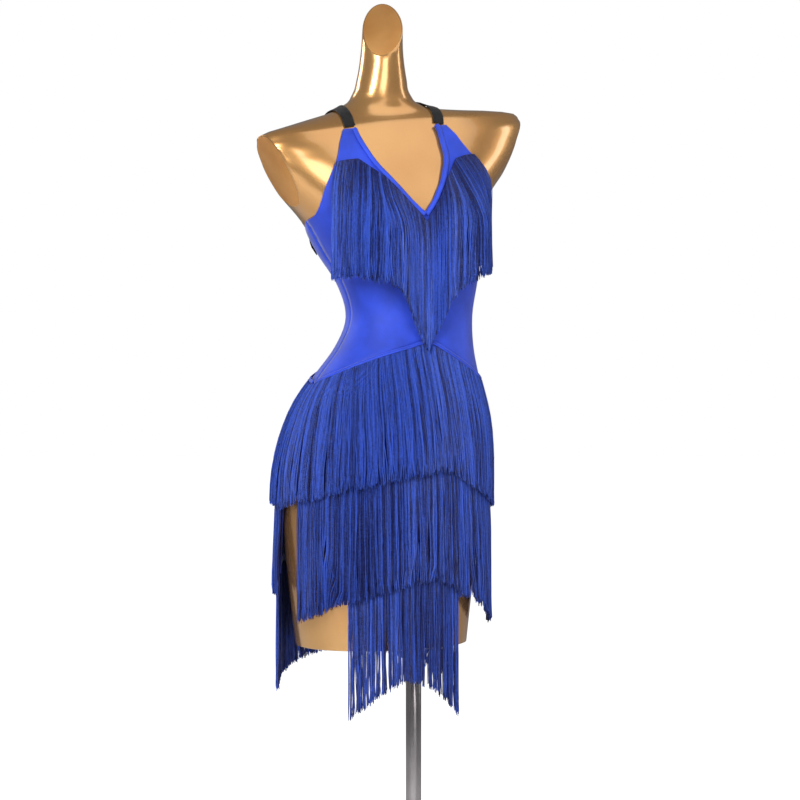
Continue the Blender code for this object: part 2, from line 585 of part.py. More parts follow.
def build_straps(skin, material):
    """Make the two elastic straps, which cross on the upper back."""
    sides = (("strap_right", STRAP_RIGHT, NECK_EDGE_RIGHT[0], ARM_EDGE_RIGHT[0], STRAP_LIFT),
             ("strap_left", STRAP_LEFT, NECK_EDGE_LEFT[0], ARM_EDGE_LEFT[0], 0.0))
    for name, points, inner, outer, lift in sides:
        tab_angle, tab_level = (np.array(inner) + np.array(outer)) / 2
        tab = form_point(tab_level, tab_angle) + np.array((0.0, 0.0, TAB_GAP))
        path = []
        normals = []
        clears = []
        for step in range(STRAP_STEPS + 1):
            share = step / STRAP_STEPS
            target = along((tuple(tab), *points), share)
            lap = min(max((share - STRAP_LAP_FROM) / STRAP_LAP_REACH, 0.0), 1.0)
            crossing = math.exp(-((share - STRAP_CROSSING) / STRAP_CROSSING_REACH) ** 2)
            clear = CLOTH_CLEAR + lift * crossing + (TRIM_CLEAR - CLOTH_CLEAR) * lap
            place, normal = skin.from_centre(STRAP_CENTRE, target, clear)
            path.append(place)
            normals.append(normal)
            clears.append(clear)
        columns = strip_columns(skin, path, normals, STRAP_WIDTH, clears)
        builder = ease_off(grid_cloth(columns), skin, CLOTH_CLEAR * EASE_SHARE)
        thicken(add_object(name, builder, material), CLOTH_WALL)


# ---------------------------------------------------------------------------------------------
# Fringe: each row is the space that its threads fill
# ---------------------------------------------------------------------------------------------

def seam_starts(carrier, seam, across, clear):
    """Spread the tops of a row's columns evenly along its (angle, level) seam."""
    return [carrier.from_outside(*along(seam, index / across)[::-1], clear)
            for index in range(across + 1)]


def bust_starts(skin, across, clear):
    """Run the bust seam across the foot of one tab, down to the V and up to the other tab."""
    rows = BUST_RUN_STEPS
    runs = []
    sides = (("right", NECK_EDGE_RIGHT, BUST_SEAM_SHARES[0], 1.0),
             ("left", NECK_EDGE_LEFT, BUST_SEAM_SHARES[1], -1.0))
    for _, edge, share, side in sides:
        path = [Vector(form_point(*along(edge, share + (1 - share) * row / rows)[::-1]))
                for row in range(rows + 1)]
        moved = []
        for index, point in enumerate(path[:-1]):
            run = path[index + 1] - point
            normal = skin.tree.find_nearest(point)[1]
            beside = point + run.cross(normal).normalized() * BUST_SEAM_INSET * side
            if (beside.x - path[-1].x) * side < 0.0:
                moved.append(beside)
        runs.append(moved)
    tabs = [[Vector(form_point(level, angle)) for angle, level in seam]
            for seam in (BUST_SEAM_RIGHT, BUST_SEAM_LEFT)]
    low = [Vector(form_point(BUST_SEAM_V, 0.0))]
    line = tabs[0] + runs[0] + low + runs[1][::-1] + tabs[1]
    rows = [tuple(point) for point in line]
    return [skin.lift(point_along(rows, index / across), clear) for index in range(across + 1)]


def build_fringe(carrier, name, seam, clears, material):
    """Hang one row of skirt fringe from its seam, over whatever carries it."""
    starts = seam_starts(carrier, seam, ROW_COLUMNS, clears[0])
    columns = [carrier.hang(start, FRINGE_LENGTH, clears)[::FRINGE_STEP] for start in starts]
    builder = ease_off(grid_cloth(columns), carrier, clears[0] * EASE_SHARE)
    thicken(add_object(name, builder, material), FRINGE_WALL)


def build_bust_fringe(skin, bodice, material):
    """Hang the bust fringe, trimmed shorter to its ends, which fan out over the bust."""
    columns = []
    for index, start in enumerate(bust_starts(skin, BUST_COLUMNS, BUST_CLEARS[0])):
        share = index / BUST_COLUMNS
        end = int(share > 0.5)
        trim = min(abs(share - 0.5) / BUST_TRIM_REACH, 1.0) * (1.0 - BUST_END_SHARES[end])
        spread = max(0.0, 1.0 - min(share, 1.0 - share) / BUST_FAN_REACH)
        drift = (BUST_FANS[end][0] * spread, BUST_FANS[end][1] * spread)
        path = skin.hang(start, FRINGE_LENGTH * (1.0 - trim), BUST_CLEARS, drift, False, BUST_FAN_END)
        columns.append(path[::BUST_STEP])
    builder = ease_off(grid_cloth(columns), skin, BUST_CLEARS[0] * EASE_SHARE)
    ease_off(builder, bodice, LEAST_GAP)
    thicken(add_object("bust_fringe", builder, material), FRINGE_WALL)


def build_all():
    """Build every piece of the dress, the form and the stand."""
    for obj in list(bpy.data.objects):
        bpy.data.objects.remove(obj, do_unlink=True)
    gold = make_material("gold_lacquer", GOLD)
    steel = make_material("brushed_steel", STEEL)
    stretch = make_material("stretch_fabric", STRETCH_BLUE)
    threads = make_material("fringe_threads", FRINGE_BLUE)
    elastic = make_material("black_elastic", BLACK_ELASTIC)
    form = build_form(gold)
    skin = Skin(form)
    build_stand(steel)
    build_bodice(skin, stretch)
    build_skirt(skin, stretch)
    build_trim(skin, stretch)
    build_straps(skin, elastic)
    build_bust_fringe(skin, Skin(bpy.data.objects["bodice_front"]), threads)
    for name, carrier, seam, *clears in FRONT_ROWS + BACK_ROWS:
        build_fringe(Skin(bpy.data.objects[carrier]), name, seam, clears, threads)


build_all()
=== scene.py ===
"""Visual model of a fringed latin dance dress on its limbless dress form and steel stand.

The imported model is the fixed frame: +Z up, the form faces -Y, its right side is at -X, and the
origin is the centre of the base plate's underside.  All lengths are metres and all angles are
degrees.  Cloth is laid on the form's skin, and every thread of fringe hangs from its own seam.
"""

import sys

import json
import logging
import math
from dataclasses import dataclass, field
from enum import Enum

import bmesh
import bpy
import numpy as np
from mathutils import Matrix, Vector
from mathutils.bvhtree import BVHTree

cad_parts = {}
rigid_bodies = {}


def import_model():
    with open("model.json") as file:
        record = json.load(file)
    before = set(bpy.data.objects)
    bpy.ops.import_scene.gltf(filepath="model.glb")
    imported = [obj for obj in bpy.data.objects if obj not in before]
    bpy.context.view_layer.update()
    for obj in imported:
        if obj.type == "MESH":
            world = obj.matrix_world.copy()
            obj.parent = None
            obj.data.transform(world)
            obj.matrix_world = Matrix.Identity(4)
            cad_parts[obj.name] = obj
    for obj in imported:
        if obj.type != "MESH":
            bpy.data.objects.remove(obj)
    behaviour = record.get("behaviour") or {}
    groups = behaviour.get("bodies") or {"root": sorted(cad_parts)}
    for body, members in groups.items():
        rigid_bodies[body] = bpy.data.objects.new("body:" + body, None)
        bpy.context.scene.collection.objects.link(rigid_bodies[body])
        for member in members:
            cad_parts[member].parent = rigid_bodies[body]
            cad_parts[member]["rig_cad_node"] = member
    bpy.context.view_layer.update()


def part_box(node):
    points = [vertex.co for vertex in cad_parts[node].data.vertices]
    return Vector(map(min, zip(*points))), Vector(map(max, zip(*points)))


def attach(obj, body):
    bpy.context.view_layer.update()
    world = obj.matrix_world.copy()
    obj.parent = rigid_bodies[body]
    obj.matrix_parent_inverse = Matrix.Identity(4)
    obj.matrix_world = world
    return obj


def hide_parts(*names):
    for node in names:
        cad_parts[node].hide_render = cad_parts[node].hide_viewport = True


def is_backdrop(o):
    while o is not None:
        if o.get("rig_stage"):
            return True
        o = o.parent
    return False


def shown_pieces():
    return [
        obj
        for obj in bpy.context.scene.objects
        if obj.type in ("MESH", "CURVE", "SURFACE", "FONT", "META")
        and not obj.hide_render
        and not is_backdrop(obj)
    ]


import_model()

LOG = logging.getLogger("dance_dress")
Edge = tuple[tuple[float, float], ...]


# =============================================================================================
# Tables and choices
# =============================================================================================

class Slot(Enum):
    """Material slots of the record."""

    LACQUER = "gold_lacquer"
    STEEL = "stand_steel"
    STRETCH = "stretch_fabric"
    FRINGE = "fringe_threads"
    ELASTIC = "black_elastic"


class Held(Enum):
    """How a sheet of cloth is held."""

    STRETCHED = "stretched"
    HUNG = "hung"


# Level, centre x, centre y, half width, front depth, back depth, fullness and tilt
FORM_SECTIONS = (
    (0.586, -0.059, 0.000, 0.140, 0.113, 0.113, 2.10, 0.00),
    (0.640, -0.059, 0.000, 0.147, 0.115, 0.117, 2.10, 0.00),
    (0.720, -0.058, 0.000, 0.157, 0.118, 0.124, 2.10, 0.00),
    (0.800, -0.055, 0.000, 0.165, 0.119, 0.133, 2.10, 0.00),
    (0.865, -0.051, 0.000, 0.168, 0.118, 0.136, 2.10, 0.00),
    (0.920, -0.045, 0.000, 0.163, 0.113, 0.129, 2.10, 0.00),
    (0.965, -0.039, 0.000, 0.153, 0.105, 0.114, 2.10, 0.00),
    (1.005, -0.031, 0.000, 0.137, 0.095, 0.098, 2.10, 0.01),
    (1.050, -0.018, 0.000, 0.115, 0.084, 0.083, 2.10, 0.02),
    (1.100, -0.008, 0.000, 0.103, 0.078, 0.077, 2.10, 0.04),
    (1.158, -0.009, 0.002, 0.114, 0.084, 0.084, 2.15, 0.07),
    (1.215, -0.024, 0.005, 0.134, 0.088, 0.092, 2.20, 0.10),
    (1.268, -0.031, 0.008, 0.156, 0.086, 0.098, 2.25, 0.12),
    (1.320, -0.032, 0.010, 0.202, 0.078, 0.096, 2.25, 0.12),
    (1.365, -0.031, 0.012, 0.232, 0.069, 0.087, 2.30, 0.13),
    (1.398, -0.032, 0.013, 0.237, 0.059, 0.074, 2.30, 0.14),
    (1.412, -0.036, 0.014, 0.218, 0.053, 0.066, 2.30, 0.14),
    (1.420, -0.040, 0.015, 0.165, 0.048, 0.060, 2.20, 0.13),
    (1.427, -0.045, 0.014, 0.108, 0.044, 0.054, 2.10, 0.10),
    (1.438, -0.050, 0.012, 0.067, 0.041, 0.049, 2.00, 0.05),
    (1.455, -0.053, 0.010, 0.048, 0.038, 0.044, 2.00, 0.02),
    (1.480, -0.054, 0.007, 0.040, 0.036, 0.040, 2.00, 0.00),
    (1.520, -0.056, 0.003, 0.0335, 0.033, 0.036, 2.00, 0.00),
    (1.560, -0.057, -0.001, 0.0315, 0.032, 0.034, 2.00, 0.00),
    (1.640, -0.058, -0.008, 0.0290, 0.030, 0.032, 2.00, 0.00),
)
# Flat cuts: a point on the cut, its outward normal, and the height above which it reaches
NECK_CUT = ((-0.057, 0.002, 1.560), (-0.43, -0.74, 0.52), 1.48)
ARM_CUT_RIGHT = ((-0.202, 0.0, 1.262), (-0.881, 0.0, -0.473), 1.20)
ARM_CUT_LEFT = ((0.142, 0.0, 1.301), (0.912, 0.0, -0.410), 1.25)
SIDE_ANGLE = 89.93
FORM_AXIS = (-0.045, 0.0)

# Panel edges on the skin, as (angle, level)
NECK_EDGE_RIGHT = ((-21, 1.403), (-18.5, 1.372), (-16, 1.345), (-12, 1.318), (-7, 1.289), (0, 1.259))
NECK_EDGE_LEFT = ((7.5, 1.396), (9, 1.366), (10.5, 1.339), (9.5, 1.312), (6.5, 1.287), (0, 1.259))
ARM_EDGE_RIGHT = ((-26.5, 1.403), (-28.5, 1.386), (-32, 1.362), (-39, 1.337), (-49, 1.312),
                  (-61, 1.290), (-74, 1.275), (-89.8, 1.268))
ARM_EDGE_LEFT = ((12.5, 1.396), (15, 1.384), (20, 1.362), (28, 1.340), (39, 1.319),
                 (52, 1.298), (68, 1.282), (89.8, 1.270))
HIP_SEAM = ((-90, 0.994), (-65, 1.013), (-45, 1.031), (-22, 1.048), (-2, 1.058),
            (14, 1.043), (33, 1.024), (56, 1.006), (90, 0.997))
BACK_HIP_SEAM = ((90, 0.997), (125, 1.012), (155, 1.034), (180, 1.048), (205, 1.036),
                 (235, 1.010), (270, 0.994))
BACK_TOP = ((90, 1.270), (100, 1.258), (120, 1.222), (145, 1.180), (180, 1.160),
            (215, 1.180), (240, 1.222), (260, 1.257), (270, 1.268))
BUST_SEAM_RIGHT = ((-34.5, 1.351), (-29, 1.352), (-24, 1.352))
BUST_SEAM_LEFT = ((15.5, 1.341), (20, 1.345), (25, 1.346))
SKIRT_FRONT_HEM = ((-90, 0.806), (-68, 0.818), (-57, 0.780), (-48, 0.664), (-40, 0.668),
                   (-30, 0.688), (-8, 0.720), (14, 0.688), (24, 0.662), (31, 0.662),
                   (40, 0.770), (50, 0.800), (90, 0.778))
SKIRT_BACK_HEM = ((90, 0.822), (104, 0.822), (110, 0.780), (116, 0.700), (122, 0.698),
                  (145, 0.726), (180, 0.746), (215, 0.728), (248, 0.698), (254, 0.700),
                  (259, 0.780), (264, 0.830), (270, 0.832))
STRAP_RIGHT = ((-0.139, -0.024, 1.413), (-0.136, 0.004, 1.428),
               (-0.122, 0.050, 1.414), (-0.098, 0.095, 1.378), (-0.055, 0.120, 1.325),
               (0.015, 0.115, 1.275), (0.066, 0.088, 1.243), (0.104, 0.062, 1.205))
STRAP_LEFT = ((0.016, -0.030, 1.418), (0.012, 0.004, 1.434),
              (0.000, 0.050, 1.425), (-0.022, 0.095, 1.385), (-0.062, 0.120, 1.325),
              (-0.118, 0.115, 1.262), (-0.150, 0.088, 1.222), (-0.168, 0.062, 1.182))

# Colours, linear
ROYAL_BLUE = (0.030, 0.082, 0.74)
THREAD_DEEP = (0.006, 0.012, 0.105)
THREAD_BRIGHT = (0.050, 0.128, 0.72)


# =============================================================================================
# Curves, skin and hanging
# =============================================================================================

class SmoothTable:
    """Smooth curves through the rows of a table, read at any value of its first column."""

    def __init__(self, rows) -> None:
        """Keep the rows and their slopes.

        Args:
            rows: The table, with its first column rising.
        """
        self.table = np.array(rows, dtype=float)
        self.keys = self.table[:, 0]
        self.slopes = np.gradient(self.table, self.keys, axis=0)

    def read(self, key: float) -> np.ndarray:
        """Return every column at one value of the first.

        Args:
            key: Value of the first column.

        Returns:
            The row there.
        """
        key = min(max(key, self.keys[0]), self.keys[-1])
        index = int(min(max(np.searchsorted(self.keys, key) - 1, 0), len(self.keys) - 2))
        width = self.keys[index + 1] - self.keys[index]
        t = (key - self.keys[index]) / width
        place = ((2 * t ** 3 - 3 * t ** 2 + 1) * self.table[index]
                 + (3 * t ** 2 - 2 * t ** 3) * self.table[index + 1])
        lean = (t ** 3 - 2 * t ** 2 + t) * self.slopes[index] + (t ** 3 - t ** 2) * self.slopes[index + 1]
        return place + lean * width


def curve_through(points) -> SmoothTable:
    """Make a smooth curve through a few points, read at a share of its run from 0 to 1.

    Args:
        points: (angle, level) pairs or 3-D points.

    Returns:
        A table whose first column is the share.
    """
    table = np.array(points, dtype=float)
    weights = (1.0, *([90.0] * (table.shape[1] - 1)))
    run = np.concatenate(((0.0,), np.cumsum(np.linalg.norm(np.diff(table * weights, axis=0), axis=1))))
    return SmoothTable(np.column_stack((run / run[-1], table)))


@dataclass(frozen=True)
class FormShape:
    """The rule for the form's skin: its level sections and the swell of the bust."""

    bust_level: float = 1.232
    bust_spacing: float = 0.086
    bust_depth: float = 0.040
    bust_width: float = 0.050
    bust_fall: float = 1.35
    bust_rise: float = 0.85
    sections: SmoothTable = field(default_factory=lambda: SmoothTable(FORM_SECTIONS))

    def point(self, level: float, angle: float) -> Vector:
        """Return a point of the skin; angle 0 is the middle front, 90 the form's left side.

        Args:
            level: Height before the section's tilt.
            angle: Turn about the form.

        Returns:
            The point.
        """
        _, cx, cy, half_width, front, back, fullness, tilt = self.sections.read(level)
        across = math.sin(math.radians(angle))
        forward = math.cos(math.radians(angle))
        power = 2.0 / fullness
        x = half_width * math.copysign(abs(across) ** power, across)
        y = -(front if forward > 0 else back) * math.copysign(abs(forward) ** power, forward)
        if forward > 0:
            for side in (-1, 1):
                reach_x = (x - side * self.bust_spacing) / self.bust_width
                reach_z = (level - self.bust_level) / self.bust_width
                fade = self.bust_fall if level < self.bust_level else self.bust_rise
                y -= self.bust_depth * forward ** 0.5 * math.exp(-reach_x ** 2 - fade * reach_z ** 2)
        return Vector((cx + x, cy + y, level + tilt * x))

    def angle_of(self, point: Vector, middle: float) -> float:
        """Read a point's turn about the form, in the turn centred on the middle."""
        _, cx, cy, half_width, front, back, _, _ = self.sections.read(point.z)
        depth = front if point.y < cy else back
        angle = math.degrees(math.atan2((point.x - cx) / half_width, (cy - point.y) / depth))
        return middle + (angle - middle + 180.0) % 360.0 - 180.0


SHAPE = FormShape()


def level_at(edge: Edge, angle: float) -> float:
    """Return the level of an (angle, level) edge at one angle."""
    return float(SmoothTable(edge).read(angle)[1])


def faces_out(point: Vector, normal: Vector) -> bool:
    """Tell whether a surface beside a point looks away from the form's axis."""
    return normal.x * (point.x - FORM_AXIS[0]) + normal.y * (point.y - FORM_AXIS[1]) > 0.0


class Skin:
    """A finished surface, the form or a skirt panel, on which cloth or fringe is laid."""

    def __init__(self, obj: bpy.types.Object) -> None:
        """Read the surface with its modifiers."""
        bpy.context.view_layer.update()
        self.tree = BVHTree.FromObject(obj, bpy.context.evaluated_depsgraph_get())

    def lift(self, point: Vector, clear: float) -> Vector:
        """Move a point straight off the skin until it stands at the clearance."""
        place, normal, _, _ = self.tree.find_nearest(point)
        return place + normal * clear

    def normal(self, point: Vector) -> Vector:
        """Return the skin's normal nearest to a point."""
        return self.tree.find_nearest(point)[1]

    def push_out(self, point: Vector, clear: float) -> Vector:
        """Push a hanging point level out of the form, only if it is nearer than the clearance."""
        moved = Vector(point)
        for _ in range(3):
            place, normal, _, _ = self.tree.find_nearest(moved)
            short = clear - (moved - place).dot(normal)
            level_out = Vector((normal.x, normal.y, 0.0))
            if short <= 0.0 or level_out.length < 0.15 or not faces_out(moved, normal):
                break
            moved += level_out * (short / level_out.length_squared)
        return moved

    def hang(self, start: Vector, length: float, clears: tuple[float, float], steps: int = 60,
             drift: tuple[float, float] = (0.0, 0.0), by_height: bool = False,
             drift_end: float = 1e9) -> list[Vector]:
        """Follow a thread from a seam: it falls straight down except over the form.

        Args:
            start: Point of the seam.
            length: Length of the thread, or its fall where by_height is set.
            clears: Clearances from the skin at the seam and at the tip.
            steps: Number of steps.
            drift: Sideways run for each metre of fall.
            drift_end: Share of the length at which the drift has died away.
            by_height: Measure the length straight down.

        Returns:
            The points from the seam to the tip.
        """
        points = [Vector(start)]
        step = length / steps
        for index in range(steps):
            clear = clears[0] + (clears[1] - clears[0]) * (index + 1) / steps
            pull = max(0.0, 1.0 - index / steps / drift_end) * step
            ahead = self.push_out(points[-1] + Vector((drift[0] * pull, drift[1] * pull, -step)), clear)
            run = ahead - points[-1]
            points.append(ahead if by_height else points[-1] + run * (step / run.length))
        return points

    def from_outside(self, level: float, angle: float, clear: float) -> Vector:
        """Find the point outside the surface that is level with a point of the form."""
        target = SHAPE.point(level, angle)
        centre = Vector((*SHAPE.sections.read(level)[1:3], target.z))
        outwards = (target - centre).normalized()
        place, normal, _, _ = self.tree.ray_cast(target + outwards * 0.3, -outwards)
        return place + normal * clear

    def from_centre(self, centre: Vector, target: Vector, clear: float) -> tuple[Vector, Vector]:
        """Drop a point onto the skin along a line from inside the form."""
        place, normal, _, _ = self.tree.ray_cast(centre, (target - centre).normalized())
        return place + normal * clear, normal


# =============================================================================================
# Mesh helpers
# =============================================================================================

def grid_cloth(columns: list) -> bmesh.types.BMesh:
    """Shape a grid into one layer of cloth.

    Args:
        columns: Columns of points, all of the same length.

    Returns:
        The layer, with its spread across and down kept as its UV map.
    """
    across, down = len(columns), len(columns[0])
    builder = bmesh.new()
    builder.loops.layers.uv.new("UVMap")
    bmesh.ops.create_grid(builder, x_segments=across - 1, y_segments=down - 1, size=0.5, calc_uvs=True)
    for vertex in builder.verts:
        column = round((vertex.co.x + 0.5) * (across - 1))
        row = round((0.5 - vertex.co.y) * (down - 1))
        vertex.co = columns[column][row]
    return builder


def ease_off(builder: bmesh.types.BMesh, skin: Skin, clear: float, rounds: int = 4) -> None:
    """Move a cloth's points out until its edges and faces clear the surface too."""
    for _ in range(rounds):
        for item in builder.edges[:] + builder.faces[:]:
            middle = sum((vertex.co for vertex in item.verts), Vector()) / len(item.verts)
            place, normal, _, _ = skin.tree.find_nearest(middle)
            short = clear - (middle - place).dot(normal)
            if 0.0 < short < clear * 2 and faces_out(middle, normal):
                for vertex in item.verts:
                    vertex.co += normal * short


def add_piece(name: str, builder: bmesh.types.BMesh, materials: list) -> bpy.types.Object:
    """Make a bmesh a named piece that rides on the body and has its material slot."""
    mesh = bpy.data.meshes.new(name)
    builder.to_mesh(mesh)
    builder.free()
    return add_mesh(name, mesh, materials)


def add_mesh(name: str, mesh: bpy.types.Mesh, materials: list) -> bpy.types.Object:
    """Link a mesh as a named piece.

    Args:
        name: Name of the piece.
        mesh: Its mesh, in place.
        materials: Its materials, in order.

    Returns:
        The object.
    """
    for material in materials:
        mesh.materials.append(material)
    mesh.shade_smooth()
    mesh.set_sharp_from_angle(angle=math.radians(40.0))
    obj = bpy.data.objects.new(name, mesh)
    bpy.context.scene.collection.objects.link(obj)
    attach(obj, "root")
    return obj


def thicken(obj: bpy.types.Object, wall: float) -> bpy.types.Object:
    """Give a layer of cloth its wall, grown outwards."""
    modifier = obj.modifiers.new("wall", "SOLIDIFY")
    modifier.thickness = wall
    modifier.offset = 1.0
    return obj


def tubes(name: str, paths: np.ndarray, radii: np.ndarray, tones: np.ndarray, material,
          slot: Slot) -> bpy.types.Object:
    """Make many thin threads as one joined mesh of four-sided tubes.

    Args:
        name: Name of the piece.
        paths: Points, as threads by steps by 3.
        radii: Radius at each step of each thread.
        tones: A tone from 0 to 1 at each step of each thread; for fringe it holds dye and painted shade.
        material: Its material.
        slot: Its slot; not used.

    Returns:
        The piece, with the attributes "tone" and "run" on its points.
    """
    count, steps = paths.shape[:2]
    curve = bpy.data.curves.new(name + "_line", "CURVE")
    curve.dimensions = "3D"
    curve.bevel_depth = 1.0
    curve.bevel_resolution = 0
    curve.use_fill_caps = False
    for index in range(count):
        spline = curve.splines.new("POLY")
        spline.points.add(steps - 1)
        spline.points.foreach_set("co", np.column_stack((paths[index], np.ones(steps))).ravel())
        spline.points.foreach_set("radius", radii[index])
    holder = bpy.data.objects.new(name + "_line", curve)
    bpy.context.scene.collection.objects.link(holder)
    bpy.context.view_layer.update()
    mesh = bpy.data.meshes.new_from_object(holder.evaluated_get(bpy.context.evaluated_depsgraph_get()))
    bpy.data.objects.remove(holder, do_unlink=True)
    bpy.data.curves.remove(curve)
    mesh.name = name
    mesh.materials.clear()
    ring = len(mesh.vertices) // (count * steps)
    tone = mesh.attributes.new("tone", "FLOAT", "POINT")
    tone.data.foreach_set("value", np.repeat(tones.ravel(), ring).astype(np.float32))
    run = mesh.attributes.new("run", "FLOAT", "POINT")
    shares = np.tile(np.repeat(np.linspace(0.0, 1.0, steps), ring), count)
    run.data.foreach_set("value", shares.astype(np.float32))
    builder = bmesh.new()
    builder.from_mesh(mesh)
    open_ends = [edge for edge in builder.edges if edge.is_boundary]
    bmesh.ops.holes_fill(builder, edges=open_ends, sides=4)
    builder.to_mesh(mesh)
    builder.free()
    return add_mesh(name, mesh, [material])


# =============================================================================================
# Node groups and finishes
# =============================================================================================

def new_group(name: str, inputs: dict, outputs: tuple) -> tuple:
    """Start a shader node group with named sockets.

    Args:
        name: Name of the group.
        inputs: Socket names and default values.
        outputs: Names of the float outputs.

    Returns:
        The group, its input node and its output node.
    """
    group = bpy.data.node_groups.new(name, "ShaderNodeTree")
    group.interface.new_socket("Vector", in_out="INPUT", socket_type="NodeSocketVector")
    for key, value in inputs.items():
        group.interface.new_socket(key, in_out="INPUT", socket_type="NodeSocketFloat").default_value = value
    for key in outputs:
        group.interface.new_socket(key, in_out="OUTPUT", socket_type="NodeSocketFloat")
    return group, group.nodes.new("NodeGroupInput"), group.nodes.new("NodeGroupOutput")


def math_node(tree, operation: str, first, second=None, clamp: bool = False):
    """Add a Math node fed by sockets or numbers, and return its output."""
    node = tree.nodes.new("ShaderNodeMath")
    node.operation = operation
    node.use_clamp = clamp
    for socket, value in zip(node.inputs, (first, second)):
        if isinstance(value, (int, float)):
            socket.default_value = value
        elif value is not None:
            tree.links.new(value, socket)
    return node.outputs[0]


def make_weave_group() -> bpy.types.NodeTree:
    """Build the group for knit and woven cloth: fine ribs both ways and soft mottling."""
    group, inside, outside = new_group("cloth_weave", {"Ribs": 900.0, "Mottle": 35.0},
                                       ("Height", "Shade"))
    split = group.nodes.new("ShaderNodeSeparateXYZ")
    group.links.new(inside.outputs["Vector"], split.inputs[0])
    around = math_node(group, "ADD", split.outputs[0], split.outputs[1])
    ribs = math_node(group, "SINE", math_node(group, "MULTIPLY", around, inside.outputs["Ribs"]))
    rows = math_node(group, "SINE", math_node(group, "MULTIPLY", split.outputs[2], inside.outputs["Ribs"]))
    height = math_node(group, "MULTIPLY_ADD", math_node(group, "MULTIPLY", ribs, rows), 0.5)
    noise = group.nodes.new("ShaderNodeTexNoise")
    noise.inputs["Detail"].default_value = 3.0
    group.links.new(inside.outputs["Vector"], noise.inputs["Vector"])
    group.links.new(inside.outputs["Mottle"], noise.inputs["Scale"])
    group.links.new(height, outside.inputs["Height"])
    group.links.new(noise.outputs[0], outside.inputs["Shade"])
    return group


def make_grain_group() -> bpy.types.NodeTree:
    """Build the group for hard finishes: broad waviness and fine speckle."""
    group, inside, outside = new_group("surface_grain", {"Broad": 9.0, "Fine": 260.0},
                                       ("Broad", "Fine"))
    for key, detail in (("Broad", 2.0), ("Fine", 4.0)):
        noise = group.nodes.new("ShaderNodeTexNoise")
        noise.inputs["Detail"].default_value = detail
        group.links.new(inside.outputs["Vector"], noise.inputs["Vector"])
        group.links.new(inside.outputs[key], noise.inputs["Scale"])
        group.links.new(noise.outputs[0], outside.inputs[key])
    return group


class Dye:
    """Node work that every finish shares."""

    def __init__(self, name: str) -> None:
        """Start a material with its shader and its Object coordinates."""
        self.material = bpy.data.materials.new(name)
        self.material.use_nodes = True
        self.tree = self.material.node_tree
        self.shader = self.tree.nodes["Principled BSDF"]
        self.where = self.tree.nodes.new("ShaderNodeTexCoord").outputs["Object"]

    def place(self, group: bpy.types.NodeTree, **values: float):
        """Add a node group fed by Object coordinates.

        Args:
            group: The group.
            **values: Values of its inputs.

        Returns:
            The group's outputs.
        """
        node = self.tree.nodes.new("ShaderNodeGroup")
        node.node_tree = group
        self.tree.links.new(self.where, node.inputs["Vector"])
        for key, value in values.items():
            node.inputs[key].default_value = value
        return node.outputs

    def scaled(self, sizes: tuple[float, float, float]):
        """Return Object coordinates stretched along each axis."""
        node = self.tree.nodes.new("ShaderNodeMapping")
        node.inputs["Scale"].default_value = sizes
        self.tree.links.new(self.where, node.inputs["Vector"])
        return node.outputs[0]

    def attribute(self, name: str):
        """Return a point attribute of the piece."""
        node = self.tree.nodes.new("ShaderNodeAttribute")
        node.attribute_name = name
        return node.outputs["Fac"]

    def ramp(self, source, stops: tuple, target: str) -> None:
        """Colour an input of the shader by a value.

        Args:
            source: The value.
            stops: Pairs of place and colour.
            target: Name of the shader's input.
        """
        node = self.tree.nodes.new("ShaderNodeValToRGB")
        elements = node.color_ramp.elements
        while len(elements) < len(stops):
            elements.new(0.5)
        for element, (place, colour) in zip(elements, stops):
            element.position = place
            element.color = (*colour, 1.0)
        self.tree.links.new(source, node.inputs[0])
        self.tree.links.new(node.outputs[0], self.shader.inputs[target])

    def spread(self, source, low: float, high: float, target: str) -> None:
        """Map a value from 0..1 to a range and feed it to an input of the shader."""
        node = self.tree.nodes.new("ShaderNodeMapRange")
        node.inputs["To Min"].default_value = low
        node.inputs["To Max"].default_value = high
        self.tree.links.new(source, node.inputs["Value"])
        self.tree.links.new(node.outputs[0], self.shader.inputs[target])

    def bump(self, height, depth: float, strength: float = 1.0) -> None:
        """Raise the surface by a height, as a Bump node on the shader's normal."""
        node = self.tree.nodes.new("ShaderNodeBump")
        node.inputs["Strength"].default_value = strength
        node.inputs["Distance"].default_value = depth
        self.tree.links.new(height, node.inputs["Height"])
        self.tree.links.new(node.outputs[0], self.shader.inputs["Normal"])

    def set(self, **values: float) -> None:
        """Set plain numbers on the shader's own sockets, with _ for a space in their names."""
        for key, value in values.items():
            self.shader.inputs[key.replace("_", " ")].default_value = value


@dataclass(frozen=True)
class Lacquer:
    """Glossy gold lacquer over fibreglass, faintly wavy from its mould."""

    name: str = "gold_lacquer"
    dark: tuple = (0.74, 0.362, 0.115)
    light: tuple = (0.86, 0.472, 0.170)

    def material(self, grain: bpy.types.NodeTree) -> bpy.types.Material:
        """Mix the lacquer."""
        dye = Dye(self.name)
        noise = dye.place(grain, Broad=7.0, Fine=420.0)
        dye.ramp(noise["Broad"], ((0.30, self.dark), (0.70, self.light)), "Base Color")
        dye.spread(noise["Fine"], 0.22, 0.26, "Roughness")
        dye.bump(noise["Broad"], 0.003, 0.25)
        dye.set(Metallic=0.76, Coat_Weight=1.0, Coat_Roughness=0.05)
        return dye.material


